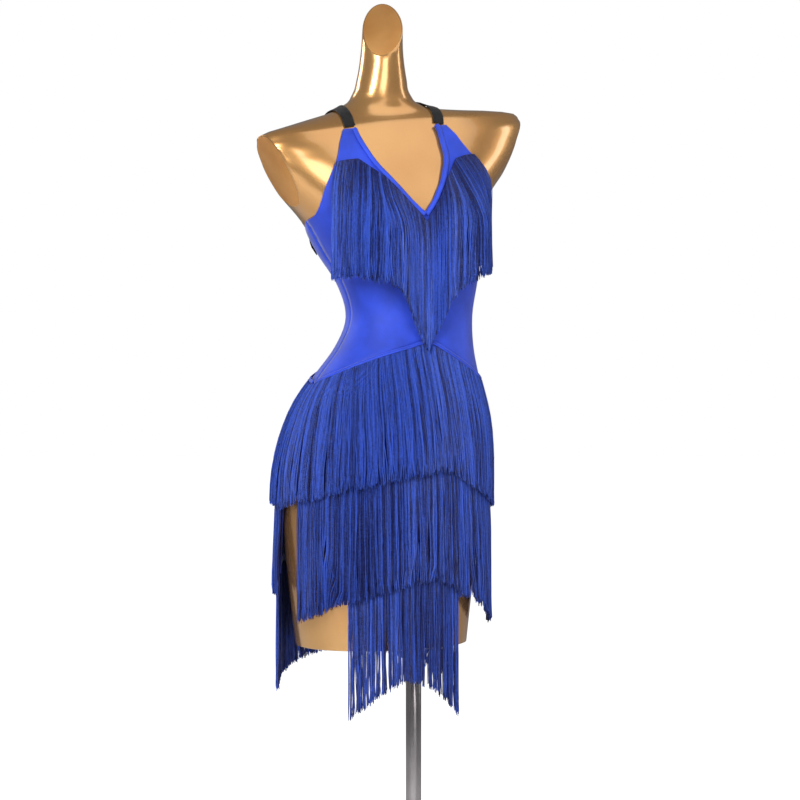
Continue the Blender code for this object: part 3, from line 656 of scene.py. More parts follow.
@dataclass(frozen=True)
class CutFace:
    """The flat sprayed face of a neck or arm cut, duller than the skin."""

    name: str = "cut_face_gold"
    dark: tuple = (0.82, 0.375, 0.110)
    light: tuple = (0.94, 0.480, 0.160)

    def material(self, grain: bpy.types.NodeTree) -> bpy.types.Material:
        """Mix the duller gold."""
        dye = Dye(self.name)
        noise = dye.place(grain, Broad=22.0, Fine=700.0)
        dye.ramp(noise["Broad"], ((0.30, self.dark), (0.70, self.light)), "Base Color")
        dye.spread(noise["Fine"], 0.34, 0.52, "Roughness")
        dye.bump(noise["Fine"], 0.0004, 0.4)
        dye.set(Metallic=0.70)
        return dye.material


@dataclass(frozen=True)
class Steel:
    """Satin steel, drawn or turned, with faint handling marks."""

    name: str
    scale: tuple[float, float, float] = (300.0, 300.0, 6.0)

    def material(self, grain: bpy.types.NodeTree) -> bpy.types.Material:
        """Mix the steel."""
        dye = Dye(self.name)
        marks = dye.place(grain, Broad=14.0, Fine=500.0)
        brush = dye.tree.nodes.new("ShaderNodeTexNoise")
        brush.inputs["Scale"].default_value = 1.0
        brush.inputs["Detail"].default_value = 3.0
        dye.tree.links.new(dye.scaled(self.scale), brush.inputs["Vector"])
        dye.ramp(marks["Broad"], ((0.3, (0.40, 0.37, 0.38)), (0.7, (0.55, 0.52, 0.53))), "Base Color")
        dye.spread(brush.outputs[0], 0.12, 0.26, "Roughness")
        dye.bump(brush.outputs[0], 0.0002, 0.4)
        dye.set(Metallic=1.0)
        return dye.material


@dataclass(frozen=True)
class StretchCloth:
    """Smooth stretch jersey: a fine knit with a soft sheen."""

    name: str = "stretch_jersey"
    colour: tuple = ROYAL_BLUE
    # A lift above 1 makes the colour brighter, which paints light.
    lift: float = 1.0

    def material(self, weave: bpy.types.NodeTree) -> bpy.types.Material:
        """Dye the jersey."""
        dye = Dye(self.name)
        knit = dye.place(weave, Ribs=5200.0, Mottle=26.0)
        dark = tuple(channel * 0.84 * self.lift for channel in self.colour)
        light = tuple(min(channel * 1.14 * self.lift, 1.0) for channel in self.colour)
        dye.ramp(knit["Shade"], ((0.32, dark), (0.68, light)), "Base Color")
        dye.spread(knit["Shade"], 0.50, 0.64, "Roughness")
        dye.bump(knit["Height"], 0.00012, 0.5)
        dye.set(Sheen_Weight=0.25, Sheen_Roughness=0.45, Specular_IOR_Level=0.35)
        return dye.material


@dataclass(frozen=True)
class Thread:
    """Silky twisted thread, each one dyed a little differently and lit along its twist, with painted shade
    carried in its tone.
    """

    name: str = "fringe_thread"
    deep: tuple = THREAD_DEEP
    bright: tuple = THREAD_BRIGHT

    def material(self, weave: bpy.types.NodeTree) -> bpy.types.Material:
        """Colour the threads by their tone, which holds their own dye and painted shade along their run
        from seam to tip.
        """
        dye = Dye(self.name)
        fibre = dye.place(weave, Ribs=3200.0, Mottle=300.0)
        mottle = math_node(dye.tree, "MULTIPLY", fibre["Shade"], 0.90)
        # The tone holds each thread's dye and its painted shade.
        tone_and_painted_shade = math_node(dye.tree, "ADD", dye.attribute("tone"), mottle)
        tone_and_painted_shade = math_node(dye.tree, "SUBTRACT", tone_and_painted_shade, 0.47, clamp=True)
        dye.ramp(tone_and_painted_shade, ((0.0, self.deep), (1.0, self.bright)), "Base Color")
        dye.spread(fibre["Shade"], 0.26, 0.44, "Roughness")
        dye.bump(fibre["Height"], 0.0006, 0.8)
        dye.set(Sheen_Weight=0.10, Sheen_Roughness=0.4, Specular_IOR_Level=0.30)
        return dye.material


@dataclass(frozen=True)
class Elastic:
    """Black elastic webbing with fine ribs across its width."""

    name: str = "elastic_webbing"

    def material(self, weave: bpy.types.NodeTree) -> bpy.types.Material:
        """Dye the webbing."""
        dye = Dye(self.name)
        web = dye.place(weave, Ribs=2600.0, Mottle=90.0)
        dye.ramp(web["Shade"], ((0.3, (0.004, 0.004, 0.005)), (0.7, (0.014, 0.014, 0.017))), "Base Color")
        dye.spread(web["Shade"], 0.58, 0.78, "Roughness")
        dye.bump(web["Height"], 0.0005, 0.7)
        dye.set(Sheen_Weight=0.1, Specular_IOR_Level=0.35)
        return dye.material


@dataclass(frozen=True)
class Floor:
    """Plain pale studio floor with the faintest mottling."""

    name: str = "studio_floor"
    glow: float = 0.95

    def material(self, grain: bpy.types.NodeTree) -> bpy.types.Material:
        """Paint the floor."""
        dye = Dye(self.name)
        noise = dye.place(grain, Broad=2.0, Fine=40.0)
        dye.ramp(noise["Broad"], ((0.3, (0.86, 0.86, 0.86)), (0.7, (0.90, 0.90, 0.90))), "Base Color")
        dye.spread(noise["Fine"], 0.7, 0.9, "Roughness")
        dye.ramp(noise["Broad"], ((0.3, (0.97, 0.97, 0.97)), (0.7, (1.0, 1.0, 1.0))), "Emission Color")
        seen = dye.tree.nodes.new("ShaderNodeLightPath").outputs["Is Camera Ray"]
        dye.tree.links.new(math_node(dye.tree, "MULTIPLY", seen, self.glow),
                           dye.shader.inputs["Emission Strength"])
        return dye.material


class Wardrobe:
    """Every finish, mixed once."""

    def __init__(self) -> None:
        """Build the node groups, then each material from its finish."""
        weave, grain = make_weave_group(), make_grain_group()
        self.lacquer = Lacquer().material(grain)
        self.cut_face = CutFace().material(grain)
        self.pole_steel = Steel("pole_steel", (700.0, 700.0, 3.0)).material(grain)
        self.plate_steel = Steel("plate_steel", (60.0, 60.0, 60.0)).material(grain)
        self.jersey = StretchCloth().material(weave)
        # The binding is the jersey's blue made 12 percent brighter, which paints light on the folded edge.
        self.binding = StretchCloth("binding_jersey", ROYAL_BLUE, 1.12).material(weave)
        self.tape = StretchCloth("fringe_tape", (0.020, 0.040, 0.36), 1.0).material(weave)
        self.thread = Thread().material(weave)
        self.stitch = Thread("seam_thread", (0.004, 0.008, 0.08), (0.012, 0.022, 0.20)).material(weave)
        self.elastic = Elastic().material(weave)
        self.floor = Floor().material(grain)


# =============================================================================================
# Dress form and stand
# =============================================================================================

@dataclass
class DressForm:
    """The limbless lacquered form, cut flat at the neck and arms."""

    sides: int = 128
    body_levels: int = 70
    shoulder_levels: int = 34
    neck_levels: int = 14
    rim: float = 0.0022

    def build(self, finishes: Wardrobe) -> bpy.types.Object:
        """Loft the form through its sections, cut it and set its duller cut faces.

        Args:
            finishes: The materials.

        Returns:
            The piece that stands for the node dress_form.
        """
        levels = np.concatenate((np.linspace(FORM_SECTIONS[0][0], 1.31, self.body_levels),
                                 np.linspace(1.314, 1.47, self.shoulder_levels),
                                 np.linspace(1.476, FORM_SECTIONS[-1][0], self.neck_levels)))
        angles = np.linspace(0.0, 360.0, self.sides + 1)
        builder = grid_cloth([[SHAPE.point(level, angle) for level in levels[::-1]] for angle in angles])
        bmesh.ops.remove_doubles(builder, verts=builder.verts[:], dist=0.00001)
        caps = [self.cut(builder, *plane) for plane in (NECK_CUT, ARM_CUT_RIGHT, ARM_CUT_LEFT)]
        rim = [edge for edge in builder.edges if edge.is_boundary]
        caps.append(bmesh.ops.holes_fill(builder, edges=rim, sides=0)["faces"])
        bmesh.ops.recalc_face_normals(builder, faces=builder.faces[:])
        for faces in caps:
            bmesh.ops.inset_region(builder, faces=faces, thickness=self.rim, depth=self.rim * 0.4)
            for face in faces:
                face.material_index = 1
        obj = add_piece("form_body", builder, [finishes.lacquer, finishes.cut_face])
        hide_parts("dress_form")
        return obj

    @staticmethod
    def cut(builder: bmesh.types.BMesh, point: tuple, normal: tuple, floor: float) -> list:
        """Slice the form above a height with a plane and return the face that closes the cut."""
        faces = [face for face in builder.faces if face.calc_center_median().z > floor]
        edges = list({edge for face in faces for edge in face.edges})
        vertices = list({vertex for face in faces for vertex in face.verts})
        sliced = bmesh.ops.bisect_plane(builder, geom=faces + edges + vertices, dist=0.00001,
                                        plane_co=point, plane_no=Vector(normal).normalized(),
                                        clear_outer=True)
        rim = [item for item in sliced["geom_cut"] if isinstance(item, bmesh.types.BMEdge)]
        return bmesh.ops.holes_fill(builder, edges=rim, sides=0)["faces"]


@dataclass
class Stand:
    """The steel stand: turned rounds with eased rims in place of the plain CAD rounds."""

    segments: int = 96
    ease: float = 0.0015
    screw_radius: float = 0.0022

    def round_piece(self, name: str, node: str, material, ease: float) -> bpy.types.Object:
        """Turn one round that fills its node's box.

        Args:
            name: Name of the piece.
            node: CAD node that it stands for.
            material: Its finish.
            ease: Width of its eased rims.

        Returns:
            The piece.
        """
        low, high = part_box(node)
        radius = (high.x - low.x) / 2
        builder = bmesh.new()
        middle = Matrix.Translation((low + high) / 2)
        bmesh.ops.create_cone(builder, cap_ends=True, segments=self.segments, radius1=radius,
                              radius2=radius, depth=high.z - low.z, matrix=middle)
        rims = [edge for edge in builder.edges if abs(edge.verts[0].co.z - edge.verts[1].co.z) < 0.0001]
        bmesh.ops.bevel(builder, geom=rims, offset=ease, segments=3, profile=0.5, affect="EDGES",
                        material=-1)
        obj = add_piece(name, builder, [material])
        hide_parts(node)
        return obj

    def set_screw(self, finishes: Wardrobe) -> bpy.types.Object:
        """Put the small set screw in the side of the socket."""
        low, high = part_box("stand_socket")
        builder = bmesh.new()
        turn = Matrix.Rotation(math.radians(90.0), 4, "X")
        place = Matrix.Translation((0.0, low.y + 0.0008, (low.z + high.z) / 2)) @ turn
        bmesh.ops.create_cone(builder, cap_ends=True, segments=24, radius1=self.screw_radius,
                              radius2=self.screw_radius, depth=0.0032, matrix=place)
        bmesh.ops.bevel(builder, geom=builder.edges[:], offset=0.0003, segments=2, profile=0.5,
                        affect="EDGES", material=-1)
        return add_piece("socket_screw", builder, [finishes.pole_steel])

    def build(self, finishes: Wardrobe) -> list:
        """Make the plate, socket, pole, flange and set screw."""
        return [self.round_piece("base_plate", "stand_base", finishes.plate_steel, self.ease),
                self.round_piece("pole_socket", "stand_socket", finishes.plate_steel, self.ease),
                self.round_piece("pole_tube", "stand_pole", finishes.pole_steel, 0.0004),
                self.round_piece("form_flange", "stand_flange", finishes.plate_steel, self.ease),
                self.set_screw(finishes)]


# =============================================================================================
# Cloth panels and trim
# =============================================================================================

@dataclass
class Bodice:
    """The front with its V neck and shoulder tabs, and the low-cut back."""

    clear: float = 0.0019
    wall: float = 0.0012
    half_seam: float = 0.0006
    neck_rows: int = 22
    body_rows: int = 24
    half_columns: int = 26
    back_columns: int = 49
    back_rows: int = 24

    @staticmethod
    def patch(top: list, bottom: list, inner: list, outer: list) -> list:
        """Fill a four-sided outline of (angle, level) points evenly.

        Args:
            top: First row, from the inner side to the outer.
            bottom: Last row.
            inner: First column, from top to bottom.
            outer: Last column.

        Returns:
            Columns of points.
        """
        columns = []
        for i in range(len(top)):
            u = i / (len(top) - 1)
            column = []
            for j in range(len(inner)):
                v = j / (len(inner) - 1)
                corners = ((1 - u) * (1 - v) * top[0] + u * (1 - v) * top[-1]
                           + (1 - u) * v * bottom[0] + u * v * bottom[-1])
                column.append((1 - u) * inner[j] + u * outer[j] + (1 - v) * top[i] + v * bottom[i]
                              - corners)
            columns.append(column)
        return columns

    def half(self, neck_edge: Edge, arm_edge: Edge, side: int) -> list:
        """Lay out one half of the front, from its tab to the hip seam."""
        hip = SmoothTable(HIP_SEAM)
        neck_curve, arm_curve = curve_through(neck_edge), curve_through(arm_edge)
        low_neck = np.array((0.0, neck_edge[-1][1]))
        peak = np.array((0.0, hip.read(0.0)[1] + self.half_seam))
        seam_top = np.array(arm_edge[-1], dtype=float)
        seam_end = np.array((side * SIDE_ANGLE, hip.read(side * SIDE_ANGLE)[1] + self.half_seam))
        shares = np.arange(self.neck_rows) / self.neck_rows
        falls = np.linspace(0.0, 1.0, self.body_rows + 1)
        inner = [neck_curve.read(s)[1:] for s in shares] + [low_neck + (peak - low_neck) * f for f in falls]
        outer = [arm_curve.read(s)[1:] for s in shares] + [seam_top + (seam_end - seam_top) * f
                                                          for f in falls]
        spread = np.linspace(0.0, 1.0, self.half_columns + 1)
        top = [inner[0] + (outer[0] - inner[0]) * s for s in spread]
        bottom = [np.array((side * SIDE_ANGLE * s, hip.read(side * SIDE_ANGLE * s)[1] + self.half_seam))
                  for s in spread]
        return self.patch(top, bottom, inner, outer)

    def laid(self, skin: Skin, columns: list) -> list:
        """Turn columns of (angle, level) points into points that stand off the form."""
        return [[skin.lift(SHAPE.point(level, angle), self.clear) for angle, level in column]
                for column in columns]

    def build(self, skin: Skin, finishes: Wardrobe) -> dict:
        """Make both panels.

        Args:
            skin: The form's skin.
            finishes: The materials.

        Returns:
            The two pieces by name.
        """
        right = self.laid(skin, self.half(NECK_EDGE_RIGHT, ARM_EDGE_RIGHT, -1)[::-1])
        left = self.laid(skin, self.half(NECK_EDGE_LEFT, ARM_EDGE_LEFT, 1))
        builder, other = grid_cloth(right), grid_cloth(left)
        spare = bpy.data.meshes.new("left_half")
        other.to_mesh(spare)
        other.free()
        builder.from_mesh(spare)
        bpy.data.meshes.remove(spare)
        bmesh.ops.remove_doubles(builder, verts=builder.verts[:], dist=0.00005)
        front = thicken(add_piece("bodice_front_panel", builder, [finishes.jersey]),
                        self.wall)
        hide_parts("bodice_front")

        columns = []
        top, low = SmoothTable(BACK_TOP), SmoothTable(BACK_HIP_SEAM)
        for angle in np.linspace(180.0 - SIDE_ANGLE, 180.0 + SIDE_ANGLE, self.back_columns):
            ends = top.read(angle)[1], low.read(angle)[1] + self.half_seam
            columns.append([(angle, level) for level in np.linspace(*ends, self.back_rows)])
        laid = self.laid(skin, columns)
        back = thicken(add_piece("bodice_back_panel", grid_cloth(laid), [finishes.jersey]), self.wall)
        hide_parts("bodice_back")
        return {"front": front, "back": back}


@dataclass
class SkirtPanels:
    """The hidden panels, open at both sides, that carry the rows of fringe."""

    clear: float = 0.0019
    wall: float = 0.0012
    half_seam: float = 0.0006
    tuck: float = 0.045
    columns: int = 60
    rows: int = 26

    def column(self, skin: Skin, seam: SmoothTable, hem: SmoothTable, angle: float,
               middle: float, lowest: float) -> list:
        """Hang one column of a panel from the hip seam down to its hem.

        Args:
            skin: The form's skin.
            seam: Levels of the hip seam.
            hem: Levels of the hem.
            angle: The column's turn.
            middle: The panel's middle turn.
            lowest: The hem's lowest level.

        Returns:
            The column's points.
        """
        start = skin.lift(SHAPE.point(seam.read(angle)[1] - self.half_seam, angle), self.clear)
        turn = math.radians(angle)
        tuck = self.tuck * ((angle - middle) / 90.0) ** 3
        drift = (-tuck * math.cos(turn), -tuck * math.sin(turn))
        path = skin.hang(start, start.z - lowest, (self.clear, self.clear), 60, drift, True)
        kept = [point for point in path if point.z > hem.read(SHAPE.angle_of(point, middle))[1]]
        places = np.linspace(0.0, len(kept) - 1.0, self.rows)
        return [kept[int(place)].lerp(kept[min(int(place) + 1, len(kept) - 1)], place % 1.0)
                for place in places]

    def build(self, skin: Skin, finishes: Wardrobe) -> dict:
        """Make the front and back panels."""
        made = {}
        for side, seam, hem, middle in (("front", HIP_SEAM, SKIRT_FRONT_HEM, 0.0),
                                        ("back", BACK_HIP_SEAM, SKIRT_BACK_HEM, 180.0)):
            lowest = min(level for _, level in hem)
            tables = SmoothTable(seam), SmoothTable(hem)
            columns = [self.column(skin, *tables, angle, middle, lowest)
                       for angle in np.linspace(middle - SIDE_ANGLE, middle + SIDE_ANGLE, self.columns)]
            obj = thicken(add_piece(f"skirt_{side}_panel", grid_cloth(columns), [finishes.tape]), self.wall)
            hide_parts(f"skirt_{side}")
            made[side] = obj
        return made


@dataclass
class Strip:
    """A narrow strip of cloth laid along a path on the skin, crowned across its width."""

    width: float
    wall: float
    shares: tuple = (-0.5, -0.3, 0.0, 0.3, 0.5)
    crown: float = 0.0

    def columns(self, skin: Skin, path: list, clears: list) -> list:
        """Lay the strip.

        Args:
            skin: The surface under it.
            path: Its middle line.
            clears: Its clearance at each point.

        Returns:
            Columns of points across its width.
        """
        made = []
        last = len(path) - 1
        for index, point in enumerate(path):
            run = path[min(index + 1, last)] - path[max(index - 1, 0)]
            across = run.cross(skin.normal(point)).normalized()
            made.append([skin.lift(point + across * self.width * share,
                                   clears[index] + self.crown * (1 - (2 * share) ** 2))
                         for share in self.shares])
        return made

    def make(self, name: str, node: str | None, columns: list, material) -> bpy.types.Object:
        """Turn laid columns into a strip of cloth with its wall, and hide the node it stands for."""
        obj = thicken(add_piece(name, grid_cloth(columns), [material]), self.wall)
        if node:
            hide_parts(node)
        return obj


@dataclass
class NeckBinding:
    """The folded binding along the V neck, whose two runs cross at its point."""

    width: float = 0.007
    clear: float = 0.0050
    lift: float = 0.0022
    steps: int = 60

    def build(self, skin: Skin, finishes: Wardrobe) -> list:
        """Make both runs and the row of stitches along each."""
        made = []
        runs = (("right", NECK_EDGE_RIGHT, 1.0), ("left", NECK_EDGE_LEFT[::-1], 0.0))
        for side, edge, rises in runs:
            curve = curve_through(edge)
            shares = np.linspace(0.0, 1.0, self.steps + 1)
            rough = [skin.lift(SHAPE.point(*curve.read(share)[1:][::-1]), 0.0019) for share in shares]
            path = []
            for index, point in enumerate(rough):
                run = rough[min(index + 1, self.steps)] - rough[max(index - 1, 0)]
                path.append(point + run.cross(skin.normal(point)).normalized() * self.width / 2)
            clears = [self.clear + rises * self.lift * max(0.0, share - 0.8) / 0.2 for share in shares]
            strip = Strip(self.width, 0.0010, crown=0.0008)
            columns = strip.columns(skin, path, clears)
            made.append(strip.make(f"neck_binding_{side}_run", f"neck_binding_{side}", columns,
                                   finishes.binding))
            line = [column[1].lerp(column[0], 0.4) for column in columns]
            stitch_row(f"neck_stitches_{side}", skin, line, 0.0013, finishes)
        return made


def stitch_row(name: str, skin: Skin, line: list, rise: float, finishes: Wardrobe,
               pitch: float = 0.0028) -> bpy.types.Object:
    """Sew a row of small stitches along a line on the cloth.

    Args:
        name: Name of the piece.
        skin: The form's skin, which gives the cloth's normals.
        line: Points that the row follows.
        rise: Height of the thread above the line.
        finishes: The materials.
        pitch: Distance from stitch to stitch.

    Returns:
        The stitches, as one piece.
    """
    points = np.array([tuple(point) for point in line])
    run = np.concatenate(((0.0,), np.cumsum(np.linalg.norm(np.diff(points, axis=0), axis=1))))
    starts = np.arange(pitch * 0.5, run[-1] - pitch, pitch)
    paths = np.zeros((len(starts), 4, 3))
    for index, start in enumerate(starts):
        for step, (share, up) in enumerate(((0.0, 0.1), (0.25, 1.0), (0.55, 1.0), (0.8, 0.1))):
            place = Vector([np.interp(start + pitch * share, run, points[:, axis]) for axis in range(3)])
            paths[index, step] = place + skin.normal(place) * rise * up
    radii = np.full(paths.shape[:2], 0.00028)
    return tubes(name, paths, radii, np.full(paths.shape[:2], 0.5), finishes.stitch, Slot.STRETCH)


@dataclass
class HipBand:
    """The narrow band over the hip seam, front and back, with its stitch line."""

    width: float = 0.005
    clear: float = 0.0050
    reach: float = 89.0
    steps: int = 90

    def build(self, skin: Skin, finishes: Wardrobe) -> list:
        """Make both bands."""
        made = []
        for side, seam, middle in (("front", HIP_SEAM, 0.0), ("back", BACK_HIP_SEAM, 180.0)):
            table = SmoothTable(seam)
            path = [skin.lift(SHAPE.point(table.read(angle)[1], angle), 0.0019)
                    for angle in np.linspace(middle - self.reach, middle + self.reach, self.steps + 1)]
            strip = Strip(self.width, 0.0010, crown=0.0006)
            columns = strip.columns(skin, path, [self.clear] * len(path))
            made.append(strip.make(f"hip_band_{side}_run", f"hip_band_{side}", columns,
                                   finishes.binding))
            stitch_row(f"hip_stitches_{side}", skin, [column[2] for column in columns], 0.0012, finishes)
        return made


@dataclass
class Straps:
    """The two elastic straps, which cross on the upper back."""

    width: float = 0.0180
    clear: float = 0.0019
    lap_clear: float = 0.0050
    wall: float = 0.0012
    lift: float = 0.0022
    crossing: float = 0.58
    crossing_reach: float = 0.10
    lap_from: float = 0.80
    lap_reach: float = 0.06
    tab_gap: float = 0.0060
    steps: int = 110
    centre: tuple = (-0.045, 0.0, 1.330)

    def build(self, skin: Skin, finishes: Wardrobe) -> list:
        """Make both straps from their tabs to the back panel."""
        made = []
        sides = (("right", STRAP_RIGHT, NECK_EDGE_RIGHT[0], ARM_EDGE_RIGHT[0], self.lift),
                 ("left", STRAP_LEFT, NECK_EDGE_LEFT[0], ARM_EDGE_LEFT[0], 0.0))
        for side, points, inner, outer, lift in sides:
            tab_angle, tab_level = (np.array(inner) + np.array(outer)) / 2
            tab = SHAPE.point(tab_level, tab_angle) + Vector((0.0, 0.0, self.tab_gap))
            curve = curve_through((tuple(tab), *points))
            path, clears = [], []
            for share in np.linspace(0.0, 1.0, self.steps + 1):
                lap = min(max((share - self.lap_from) / self.lap_reach, 0.0), 1.0)
                over = math.exp(-((share - self.crossing) / self.crossing_reach) ** 2)
                clears.append(self.clear + lift * over + (self.lap_clear - self.clear) * lap)
                path.append(skin.from_centre(Vector(self.centre), Vector(curve.read(share)[1:]),
                                             clears[-1])[0])
            strip = Strip(self.width, self.wall, (-0.5, -0.46, -0.25, 0.0, 0.25, 0.46, 0.5))
            columns = strip.columns(skin, path, clears)
            made.append(strip.make(f"strap_{side}_webbing", f"strap_{side}", columns,
                                   finishes.elastic))
        return made


# =============================================================================================
# Fringe
# =============================================================================================

@dataclass
class FringeRow:
    """One row of fringe: a header tape along its seam and the threads that hang from it."""

    name: str
    carrier: str
    seam: Edge
    clears: tuple[float, float]
    threads: int
    seed: int
    slack: float = 1.0
    length: float = 0.200
    steps: int = 10
    guides: int = 72
    clump: float = 0.0030
    thread_radius: float = 0.00066
    depth: float = 0.0030
    tape: float = 0.010
    curl: float = 0.0012
    # Painted shade: a tone shift for the whole row, darker on the lower and back rows.
    tone_and_painted_shade: float = 0.0
    # Painted shade: the threads darkened near the seam, fading out over the first 42 percent of their fall.
    painted_top_shade: float = 0.0

    def seam_points(self, surface: Skin) -> list:
        """Spread the row's guide tops evenly along its seam."""
        curve = curve_through(self.seam)
        return [surface.from_outside(*curve.read(index / self.guides)[1:][::-1], self.clears[0])
                for index in range(self.guides + 1)]

    def guide_grid(self, surface: Skin, starts: list) -> np.ndarray:
        """Hang every guide and return them as guides by steps by 3."""
        paths = [surface.hang(start, self.length, self.clears) for start in starts]
        return np.array([[tuple(point) for point in path] for path in paths])

    def thread_paths(self, grid: np.ndarray, random: np.random.Generator) -> tuple:
        """Spread threads between the guides, drawn into clumps that sway as they fall.

        Args:
            grid: The guides.
            random: The row's own source of chance.

        Returns:
            Paths, radii and tones; the tones hold each thread's dye and painted shade.
        """
        seam_length = float(np.linalg.norm(np.diff(grid[:, 0], axis=0), axis=1).sum())
        clumps = max(int(seam_length / self.clump), 8)
        shares = np.sort((np.arange(self.threads) + random.uniform(0.0, 1.0, self.threads)) / self.threads)
        centres = (np.arange(clumps) + random.uniform(0.15, 0.85, clumps)) / clumps
        owner = np.clip((shares * clumps).astype(int), 0, clumps - 1)
        pull = random.uniform(0.10, 0.62, clumps)[owner] * self.slack
        sway = random.normal(0.0, 0.0020, clumps)[owner] / seam_length * self.slack
        stray = random.normal(0.0, 0.0014, self.threads) / seam_length
        wild = random.uniform(0.0, 1.0, self.threads) < 0.025
        stray[wild] *= 5.0
        reach = 1.0 + random.normal(0.0, 0.014, self.threads) - random.uniform(0.0, 0.022, clumps)[owner]
        reach = np.clip(reach, 0.93, 1.018)
        layer = random.uniform(0.0, 1.0, self.threads)
        phase = random.uniform(0.0, 2.0 * math.pi, self.threads)
        falls = np.linspace(0.0, 1.0, self.steps) ** 1.08
        last = grid.shape[1] - 1
        outwards = self.outwards(grid)
        paths = np.zeros((self.threads, self.steps, 3))
        for step, fall in enumerate(falls):
            drawn = shares + (centres[owner] - shares) * pull * fall ** 0.8
            drawn = drawn + sway * fall ** 1.6 + stray * fall ** 1.2
            drawn = drawn + 0.0006 / seam_length * np.sin(phase + 11.0 * fall)
            drawn = drawn + self.curl / seam_length * np.sin(phase) * max(0.0, fall - 0.88) / 0.12
            across = np.clip(drawn, 0.0, 1.0) * (grid.shape[0] - 1)
            down = np.clip(fall * reach, 0.0, 1.0) * last
            place = self.sample(grid, across, down)
            extra = np.clip(fall * reach - 1.0, 0.0, None) * self.length
            normal = self.sample(outwards, across, down)
            lifted = 0.0004 + self.depth * layer * (0.35 + 0.65 * min(fall * 3.0, 1.0))
            lifted = lifted + 0.0008 * np.sin(phase * 1.7 + 6.0 * fall) * fall
            lifted = lifted + self.curl * np.cos(phase) * max(0.0, fall - 0.88) / 0.12
            paths[:, step] = place + normal * lifted[:, None]
            paths[:, step, 2] -= extra
        radii = self.thread_radius * random.uniform(0.85, 1.15, (self.threads, 1))
        radii = radii * np.interp(falls, (0.0, 0.9, 1.0), (1.0, 1.0, 0.75))[None, :]
        # Tone: random dye for each thread and clump, plus painted shade: threads lying deeper in the row
        # are darker, and the row's own shift is added.
        tones = (0.18 + 0.50 * layer + random.normal(0.0, 0.30, self.threads)
                 + random.normal(0.0, 0.19, clumps)[owner] + self.tone_and_painted_shade)
        # Painted shade near the seam, fading to nothing down each thread; the bust row's threads use it.
        fade = np.clip(1.0 - falls / 0.42, 0.0, 1.0) * self.painted_top_shade
        tones = np.clip(tones[:, None] + fade[None, :], 0.0, 1.0)
        return paths, radii, tones

    @staticmethod
    def sample(grid: np.ndarray, across: np.ndarray, down: np.ndarray) -> np.ndarray:
        """Read a grid between its points.

        Args:
            grid: Guides by steps by 3.
            across: Places across, one for each thread.
            down: Places down, one for each thread.

        Returns:
            One point for each thread.
        """
        i = np.clip(across.astype(int), 0, grid.shape[0] - 2)
        j = np.clip(down.astype(int), 0, grid.shape[1] - 2)
        u, v = (across - i)[:, None], (down - j)[:, None]
        upper = grid[i, j] * (1 - u) + grid[i + 1, j] * u
        lower = grid[i, j + 1] * (1 - u) + grid[i + 1, j + 1] * u
        return upper * (1 - v) + lower * v

    @staticmethod
    def outwards(grid: np.ndarray) -> np.ndarray:
        """Return unit normals of the guides' surface, away from the form."""
        across = np.gradient(grid, axis=0)
        down = np.gradient(grid, axis=1)
        normals = np.cross(across, down)
        normals /= np.linalg.norm(normals, axis=2, keepdims=True) + 1e-12
        away = (grid[..., :2] - np.array(FORM_AXIS))
        facing = np.sign((normals[..., :2] * away).sum(axis=2, keepdims=True))
        return normals * np.where(facing == 0, 1.0, facing)

    def build(self, surface: Skin, finishes: Wardrobe) -> bpy.types.Object:
        """Make the tape and the threads.

        Args:
            surface: What the row lies on.
            finishes: The materials.

        Returns:
            The threads, which stand for the row's node.
        """
        random = np.random.default_rng(self.seed)
        grid = self.guide_grid(surface, self.seam_points(surface))
        threads = tubes(f"{self.name}_threads", *self.thread_paths(grid, random), finishes.thread,
                        Slot.FRINGE)
        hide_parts(self.name)
        self.header(grid, finishes)
        return threads

    def header(self, grid: np.ndarray, finishes: Wardrobe) -> None:
        """Lay the header tape over the tops of the threads."""
        outwards = self.outwards(grid)
        rows = np.linspace(0.0, self.tape / self.length, 5) * (grid.shape[1] - 1)
        columns = []
        for index in range(1, grid.shape[0] - 1):
            across = np.full(5, float(index))
            places = self.sample(grid, across, rows)
            normals = self.sample(outwards, across, rows)
            columns.append([Vector(place + normal * (self.depth * 0.35 - 0.0012))
                            for place, normal in zip(places, normals)])
        obj = thicken(add_piece(f"{self.name}_tape", grid_cloth(columns), [finishes.tape]), 0.0007)


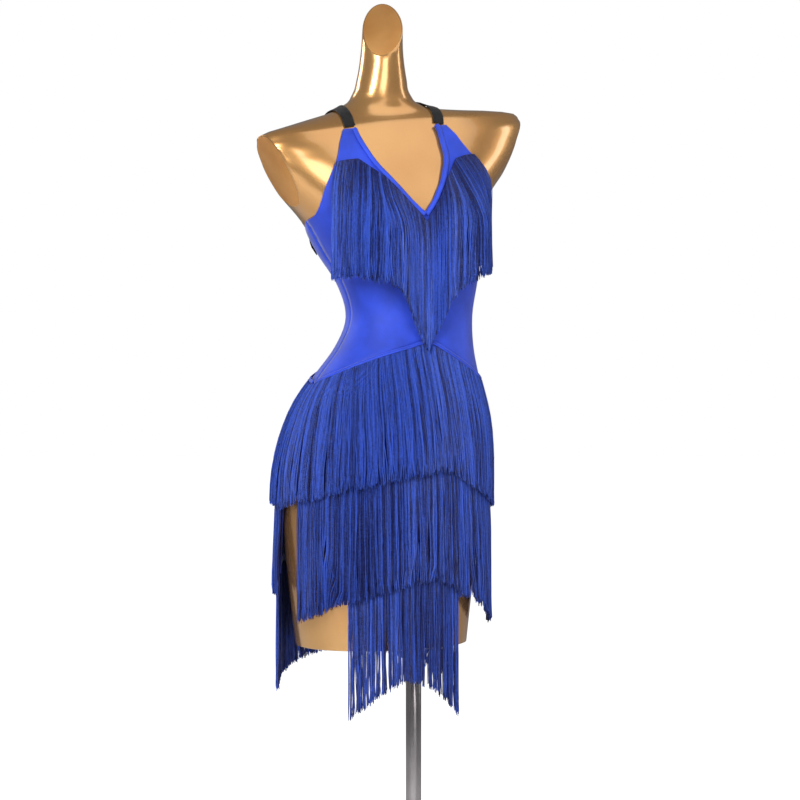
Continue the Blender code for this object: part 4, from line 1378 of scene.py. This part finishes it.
@dataclass
class BustFringe(FringeRow):
    """The fringe that runs across the foot of one tab, down to the V and up to the other."""

    inset: float = 0.0088
    v_level: float = 1.2440
    shares: tuple[float, float] = (0.44, 0.46)
    run_steps: int = 24
    end_shares: tuple[float, float] = (0.92, 0.98)
    fans: tuple = ((-0.30, 0.00), (1.20, 0.35))
    fan_reach: float = 0.24
    fan_end: float = 0.34
    trim_reach: float = 0.30

    def guide_grid(self, surface: Skin, starts: list) -> np.ndarray:
        """Hang the guides, trimmed shorter to the ends, which fan out over the bust."""
        paths = []
        for index, start in enumerate(starts):
            share = index / self.guides
            end = int(share > 0.5)
            trim = min(abs(share - 0.5) / self.trim_reach, 1.0) * (1.0 - self.end_shares[end])
            spread = max(0.0, 1.0 - min(share, 1.0 - share) / self.fan_reach)
            drift = (self.fans[end][0] * spread, self.fans[end][1] * spread)
            path = surface.hang(start, self.length * (1.0 - trim), self.clears, drift=drift,
                                drift_end=self.fan_end)
            paths.append([tuple(point) for point in path])
        return np.array(paths)

    def seam_points(self, surface: Skin) -> list:
        """Run the seam along both neck edges, moved in from their bindings."""
        runs = []
        sides = ((NECK_EDGE_RIGHT, self.shares[0], 1.0), (NECK_EDGE_LEFT, self.shares[1], -1.0))
        for edge, share, side in sides:
            curve = curve_through(edge)
            path = [SHAPE.point(*curve.read(share + (1 - share) * row / self.run_steps)[1:][::-1])
                    for row in range(self.run_steps + 1)]
            moved = []
            for index, point in enumerate(path[:-1]):
                run = path[index + 1] - point
                beside = point + run.cross(surface.normal(point)).normalized() * self.inset * side
                if (beside.x - path[-1].x) * side < 0.0:
                    moved.append(beside)
            runs.append(moved)
        tabs = [[SHAPE.point(level, angle) for angle, level in seam]
                for seam in (BUST_SEAM_RIGHT, BUST_SEAM_LEFT)]
        line = tabs[0] + runs[0] + [SHAPE.point(self.v_level, 0.0)] + runs[1][::-1] + tabs[1]
        table = np.array([tuple(point) for point in line])
        run = np.concatenate(((0.0,), np.cumsum(np.linalg.norm(np.diff(table, axis=0), axis=1))))
        spread = np.linspace(0.0, run[-1], self.guides + 1)
        return [surface.lift(Vector([np.interp(place, run, table[:, axis]) for axis in range(3)]),
                             self.clears[0]) for place in spread]


def fringe_rows() -> list:
    """List the seven rows, with the number of threads that each seam takes."""
    # Each row's tone shift below is painted shade: the lower and back rows are darker copies of the same
    # thread.
    return [
        FringeRow("front_fringe_3", "skirt_front_panel",
                  ((-42, 0.684), (-30, 0.706), (-18, 0.728), (-8, 0.738), (4, 0.728), (14, 0.706),
                   (24, 0.680)), (0.0016, 0.0016), 620, 13, 1.2, tone_and_painted_shade=-0.24),
        FringeRow("front_fringe_2", "skirt_front_panel",
                  ((-77, 0.829), (-60, 0.840), (-42, 0.856), (-20, 0.876), (4, 0.888), (22, 0.866),
                   (45, 0.838), (78, 0.812)), (0.0016, 0.0085), 1650, 12, 1.1, tone_and_painted_shade=-0.20),
        FringeRow("front_fringe_1", "form_body",
                  ((-91, 0.990), (-65, 1.009), (-45, 1.027), (-22, 1.044), (-2, 1.054), (14, 1.039),
                   (33, 1.020), (56, 1.002), (91, 0.993)), (0.0050, 0.0135), 2100, 11, tone_and_painted_shade=0.02),
        FringeRow("back_fringe_3", "skirt_back_panel",
                  ((120, 0.715), (145, 0.742), (165, 0.758), (180, 0.762), (195, 0.758),
                   (215, 0.744), (248, 0.714)), (0.0016, 0.0016), 1050, 23, 1.1, tone_and_painted_shade=-0.12),
        FringeRow("back_fringe_2", "skirt_back_panel",
                  ((101, 0.856), (125, 0.872), (155, 0.896), (180, 0.908), (205, 0.896),
                   (235, 0.878), (263, 0.862)), (0.0016, 0.0085), 1600, 22, 1.1, tone_and_painted_shade=-0.10),
        FringeRow("back_fringe_1", "form_body",
                  ((91, 0.993), (125, 1.008), (155, 1.030), (180, 1.044), (205, 1.032),
                   (235, 1.006), (269, 0.990)), (0.0050, 0.0155), 2000, 21),
        BustFringe("bust_fringe", "form_body", (), (0.0066, 0.0105), 1850, 31, 0.8, tone_and_painted_shade=0.02,
                   painted_top_shade=-0.62, steps=12, guides=140),
    ]


# =============================================================================================
# Studio
# =============================================================================================

@dataclass
class Studio:
    """The pale floor, the soft lights and the camera."""

    floor_radius: float = 30.0
    azimuth: float = -30.0
    camera_place: tuple = (-1.6187, -2.7604, 0.969)
    lens: float = 90.0
    sensor: float = 36.0

    def floor(self, finishes: Wardrobe) -> None:
        """Lay the floor just under the base plate."""
        builder = bmesh.new()
        bmesh.ops.create_circle(builder, cap_ends=True, segments=64, radius=self.floor_radius,
                                matrix=Matrix.Translation((0.0, 0.0, -0.0005)))
        mesh = bpy.data.meshes.new("studio_floor")
        builder.to_mesh(mesh)
        builder.free()
        mesh.materials.append(finishes.floor)
        obj = bpy.data.objects.new("studio_floor", mesh)
        bpy.context.scene.collection.objects.link(obj)
        obj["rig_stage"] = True

    @staticmethod
    def light(name: str, place: tuple, target: tuple, size: tuple, power: float) -> None:
        """Hang one soft box that looks at a point.

        Args:
            name: Name of the light.
            place: Its place.
            target: The point that it looks at.
            size: Its width and height.
            power: Its power in watts.
        """
        data = bpy.data.lights.new(name, "AREA")
        data.shape = "RECTANGLE"
        data.size, data.size_y = size
        data.energy = power
        obj = bpy.data.objects.new(name, data)
        obj.location = place
        obj.rotation_euler = (Vector(target) - Vector(place)).to_track_quat("-Z", "Y").to_euler()
        bpy.context.scene.collection.objects.link(obj)

    @staticmethod
    def world() -> None:
        """Set a white surround for the camera and a dimmer one for the light it gives."""
        world = bpy.data.worlds.new("studio")
        world.use_nodes = True
        tree = world.node_tree
        tree.nodes.clear()
        output = tree.nodes.new("ShaderNodeOutputWorld")
        mix = tree.nodes.new("ShaderNodeMixShader")
        seen = tree.nodes.new("ShaderNodeLightPath").outputs["Is Camera Ray"]
        shades = []
        for strength in (0.17, 1.0):
            node = tree.nodes.new("ShaderNodeBackground")
            node.inputs["Color"].default_value = (1.0, 1.0, 1.0, 1.0)
            node.inputs["Strength"].default_value = strength
            shades.append(node.outputs[0])
        tree.links.new(seen, mix.inputs[0])
        tree.links.new(shades[0], mix.inputs[1])
        tree.links.new(shades[1], mix.inputs[2])
        tree.links.new(mix.outputs[0], output.inputs[0])
        bpy.context.scene.world = world

    def camera(self) -> None:
        """Set the camera level, looking across the form's right front."""
        data = bpy.data.cameras.new("camera")
        data.lens, data.sensor_width = self.lens, self.sensor
        obj = bpy.data.objects.new("camera", data)
        obj.location = self.camera_place
        obj.rotation_euler = (math.radians(90.0), 0.0, math.radians(self.azimuth))
        bpy.context.scene.collection.objects.link(obj)
        bpy.context.scene.camera = obj

    def build(self, finishes: Wardrobe) -> None:
        """Set up everything round the object."""
        self.floor(finishes)
        self.world()
        middle = (-0.04, 0.0, 1.05)
        self.light("key", (-2.4, -2.0, 2.2), middle, (1.0, 1.8), 66.0)
        self.light("front_fill", (-0.6, -3.6, 1.5), middle, (1.4, 1.8), 26.0)
        self.light("left_strip", (2.3, -0.9, 1.5), middle, (0.35, 2.0), 6.0)
        self.light("back_strip", (-1.2, 2.4, 2.2), middle, (1.0, 1.6), 24.0)
        self.light("top_soft", (0.9, -2.0, 3.3), (-0.04, 0.0, 1.3), (2.4, 2.2), 15.0)
        self.camera()
        bpy.context.scene.view_settings.view_transform = "Standard"


# =============================================================================================
# Making
# =============================================================================================

def triangles() -> dict:
    """Count the triangles of every new piece."""
    counts = {}
    depsgraph = bpy.context.evaluated_depsgraph_get()
    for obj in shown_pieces():
        if "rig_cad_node" not in obj:
            mesh = obj.evaluated_get(depsgraph).data
            mesh.calc_loop_triangles()
            counts[obj.name] = len(mesh.loop_triangles)
    return counts


def main() -> None:
    """Build every sub-assembly in order and report it."""
    logging.basicConfig(level=logging.INFO, format="%(message)s", stream=sys.stdout)
    finishes = Wardrobe()
    form = DressForm().build(finishes)
    LOG.info("form: %s", form.name)
    skin = Skin(form)
    for piece in Stand().build(finishes):
        LOG.info("stand: %s", piece.name)
    panels = Bodice().build(skin, finishes)
    skirts = SkirtPanels().build(skin, finishes)
    LOG.info("panels: %s", [piece.name for piece in (*panels.values(), *skirts.values())])
    for maker in (NeckBinding(), HipBand(), Straps()):
        LOG.info("trim: %s", [piece.name for piece in maker.build(skin, finishes)])
    surfaces = {"form_body": skin, "skirt_front_panel": Skin(skirts["front"]),
                "skirt_back_panel": Skin(skirts["back"])}
    for row in fringe_rows():
        piece = row.build(surfaces[row.carrier], finishes)
        LOG.info("fringe: %s with %d threads", piece.name, row.threads)
    Studio().build(finishes)
    counts = triangles()
    LOG.info("triangles: %d in all, at most %d in a piece (%s)", sum(counts.values()),
             max(counts.values()), max(counts, key=counts.get))


if __name__ == "__main__":
    main()
